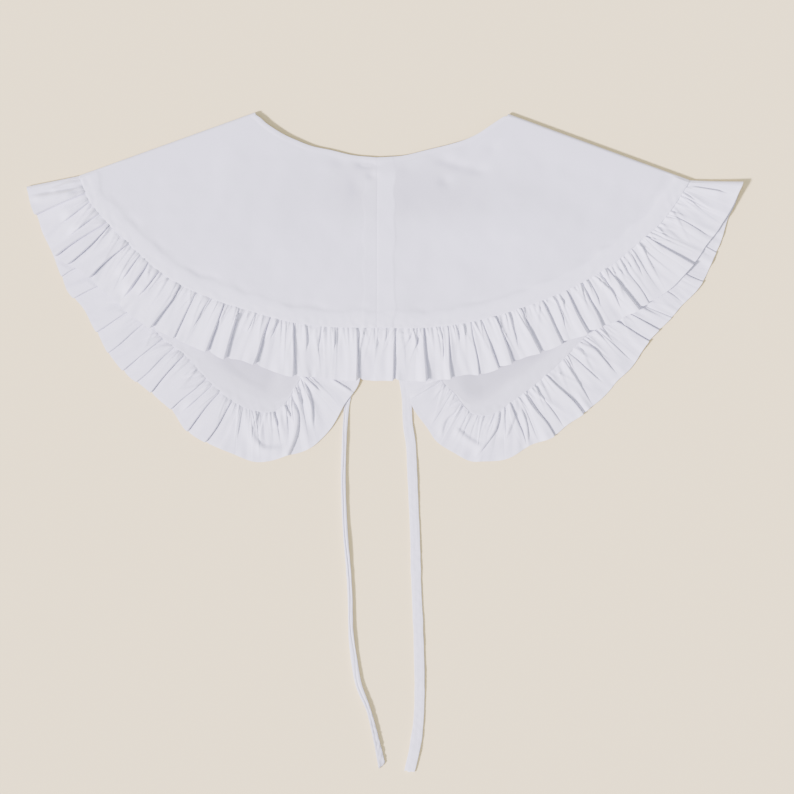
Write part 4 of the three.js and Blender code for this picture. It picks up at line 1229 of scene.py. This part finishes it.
def cotton_material():
    """White cotton: a plain weave of sines in the cloth's own UV, thicker threads as stretched
    noise, soft creasing, and a slightly cooler and lighter white where the layers attribute is
    high: where the cloth is double, and where painted light whitens it; painted shade lowers it."""
    shader = Shader("white_cotton", Roughness=0.88, Sheen_Weight=0.12, Sheen_Roughness=0.45)
    uv = shader.node("ShaderNodeUVMap", {"uv_map": "cloth"})
    x, y = (shader.node("ShaderNodeSeparateXYZ", None, uv, output=k) for k in (0, 1))
    pitch = 2 * np.pi / 0.00046
    weave = (x * pitch).sine() * (y * pitch).sine()
    threads = []
    for scale in ((260, 4200, 1), (4200, 260, 1)):
        stretched = shader.node("ShaderNodeMapping", None, uv, Scale=scale)
        threads.append(shader.node("ShaderNodeTexNoise", None, Vector=stretched, Scale=1, Detail=2))
    thread = threads[0] + threads[1]
    place = shader.node("ShaderNodeTexCoord", None, output=3)
    cloud = shader.node("ShaderNodeTexNoise", None, Vector=place, Scale=38, Detail=3)
    crease = shader.node("ShaderNodeTexNoise", None, Vector=place, Scale=150, Detail=4)
    layers = shader.node("ShaderNodeAttribute", {"attribute_name": "layers"}, output=2)
    plain = shader.blend(cloud, (0.535, 0.525, 0.565, 1), (0.555, 0.545, 0.587, 1))
    double = shader.blend(layers, plain, (0.84, 0.825, 0.905, 1))
    tint = shader.blend(thread * 0.5, (0.955, 0.955, 0.965, 1), (1, 1, 1, 1))
    shader.feed("Base Color", shader.blend(1, double, tint, "MULTIPLY"))
    relief = weave * 0.35 + thread * 0.5 + crease * 1.6
    bump = shader.node("ShaderNodeBump", None, Strength=0.35, Distance=0.0002, Height=relief)
    shader.feed("Normal", bump)
    return shader.material


def ground_material():
    """Plain cream ground: faint soft mottling and a very fine tooth."""
    shader = Shader("cream_ground", Roughness=0.95)
    place = shader.node("ShaderNodeTexCoord", None, output=3)
    cloud = shader.node("ShaderNodeTexNoise", None, Vector=place, Scale=9, Detail=2)
    shader.feed("Base Color", shader.blend(cloud, (0.89, 0.747, 0.4, 1), (0.9, 0.755, 0.406, 1)))
    grain = shader.node("ShaderNodeTexNoise", None, Vector=place, Scale=900, Detail=2)
    bump = shader.node("ShaderNodeBump", None, Strength=0.1, Distance=0.0003, Height=grain)
    shader.feed("Normal", bump)
    return shader.material


def make_ground(material):
    """A flat square far larger than the collar."""
    reach = 2.5
    mesh = bpy.data.meshes.new("ground")
    corners = [(-reach, -reach, 0), (reach, -reach, 0), (reach, reach, 0), (-reach, reach, 0)]
    mesh.from_pydata(corners, [], [(0, 1, 2, 3)])
    mesh.materials.append(material)
    ground = bpy.data.objects.new("ground", mesh)
    bpy.context.collection.objects.link(ground)


def make_camera():
    """A camera straight above the middle of the picture, 1.5 m high, with the lens that shows
    PHOTO_SIZE pixels of the surface across its 36 mm sensor."""
    height = 1.5
    middle = PHOTO_SIZE / 2
    view = PHOTO_SIZE * PIXEL * METRES
    data = bpy.data.cameras.new("camera")
    data.sensor_width = 36
    data.lens = 36 * height / view
    camera = bpy.data.objects.new("camera", data)
    across = (middle - ORIGIN_ACROSS) * PIXEL * METRES
    down = (middle - ORIGIN_DOWN) * PIXEL * METRES
    camera.location = (across, -down, height)
    bpy.context.collection.objects.link(camera)
    bpy.context.scene.camera = camera


def make_lights():
    """A key light from the lower left, 40 degrees above the surface, and an even pale sky."""
    sun = bpy.data.lights.new("key", "SUN")
    sun.energy = 10.4
    sun.angle = np.radians(8)
    sun.color = (0.989, 0.907, 1.1)
    key = bpy.data.objects.new("key", sun)
    key.rotation_euler = (np.radians(50), 0, np.radians(-62))
    bpy.context.collection.objects.link(key)
    world = bpy.data.worlds.new("sky")
    world.use_nodes = True
    sky = world.node_tree.nodes["Background"].inputs
    sky["Color"].default_value = (0.96, 0.98, 1.09, 1)
    sky["Strength"].default_value = 0.97
    bpy.context.scene.world = world


make_camera()
ties = [
    make_tie("left", FOLDED_TIE_WIDTH, FOLDED_TIE_WALL, crease=0.9, slant=-1.9),
    make_tie("right", TIE_WIDTH, TIE_WALL, crease=0.05, slant=-0.4),
]
halves = [Half("left"), Half("right")]
cotton = cotton_material()
bodies = [make_body(half) for half in halves]
ruffles = make_ruffle(halves)
for piece in [*ties, *bodies, *ruffles]:
    piece.data.materials.append(cotton)
for piece in bodies:
    cloth_area(piece)
make_ground(ground_material())
make_lights()
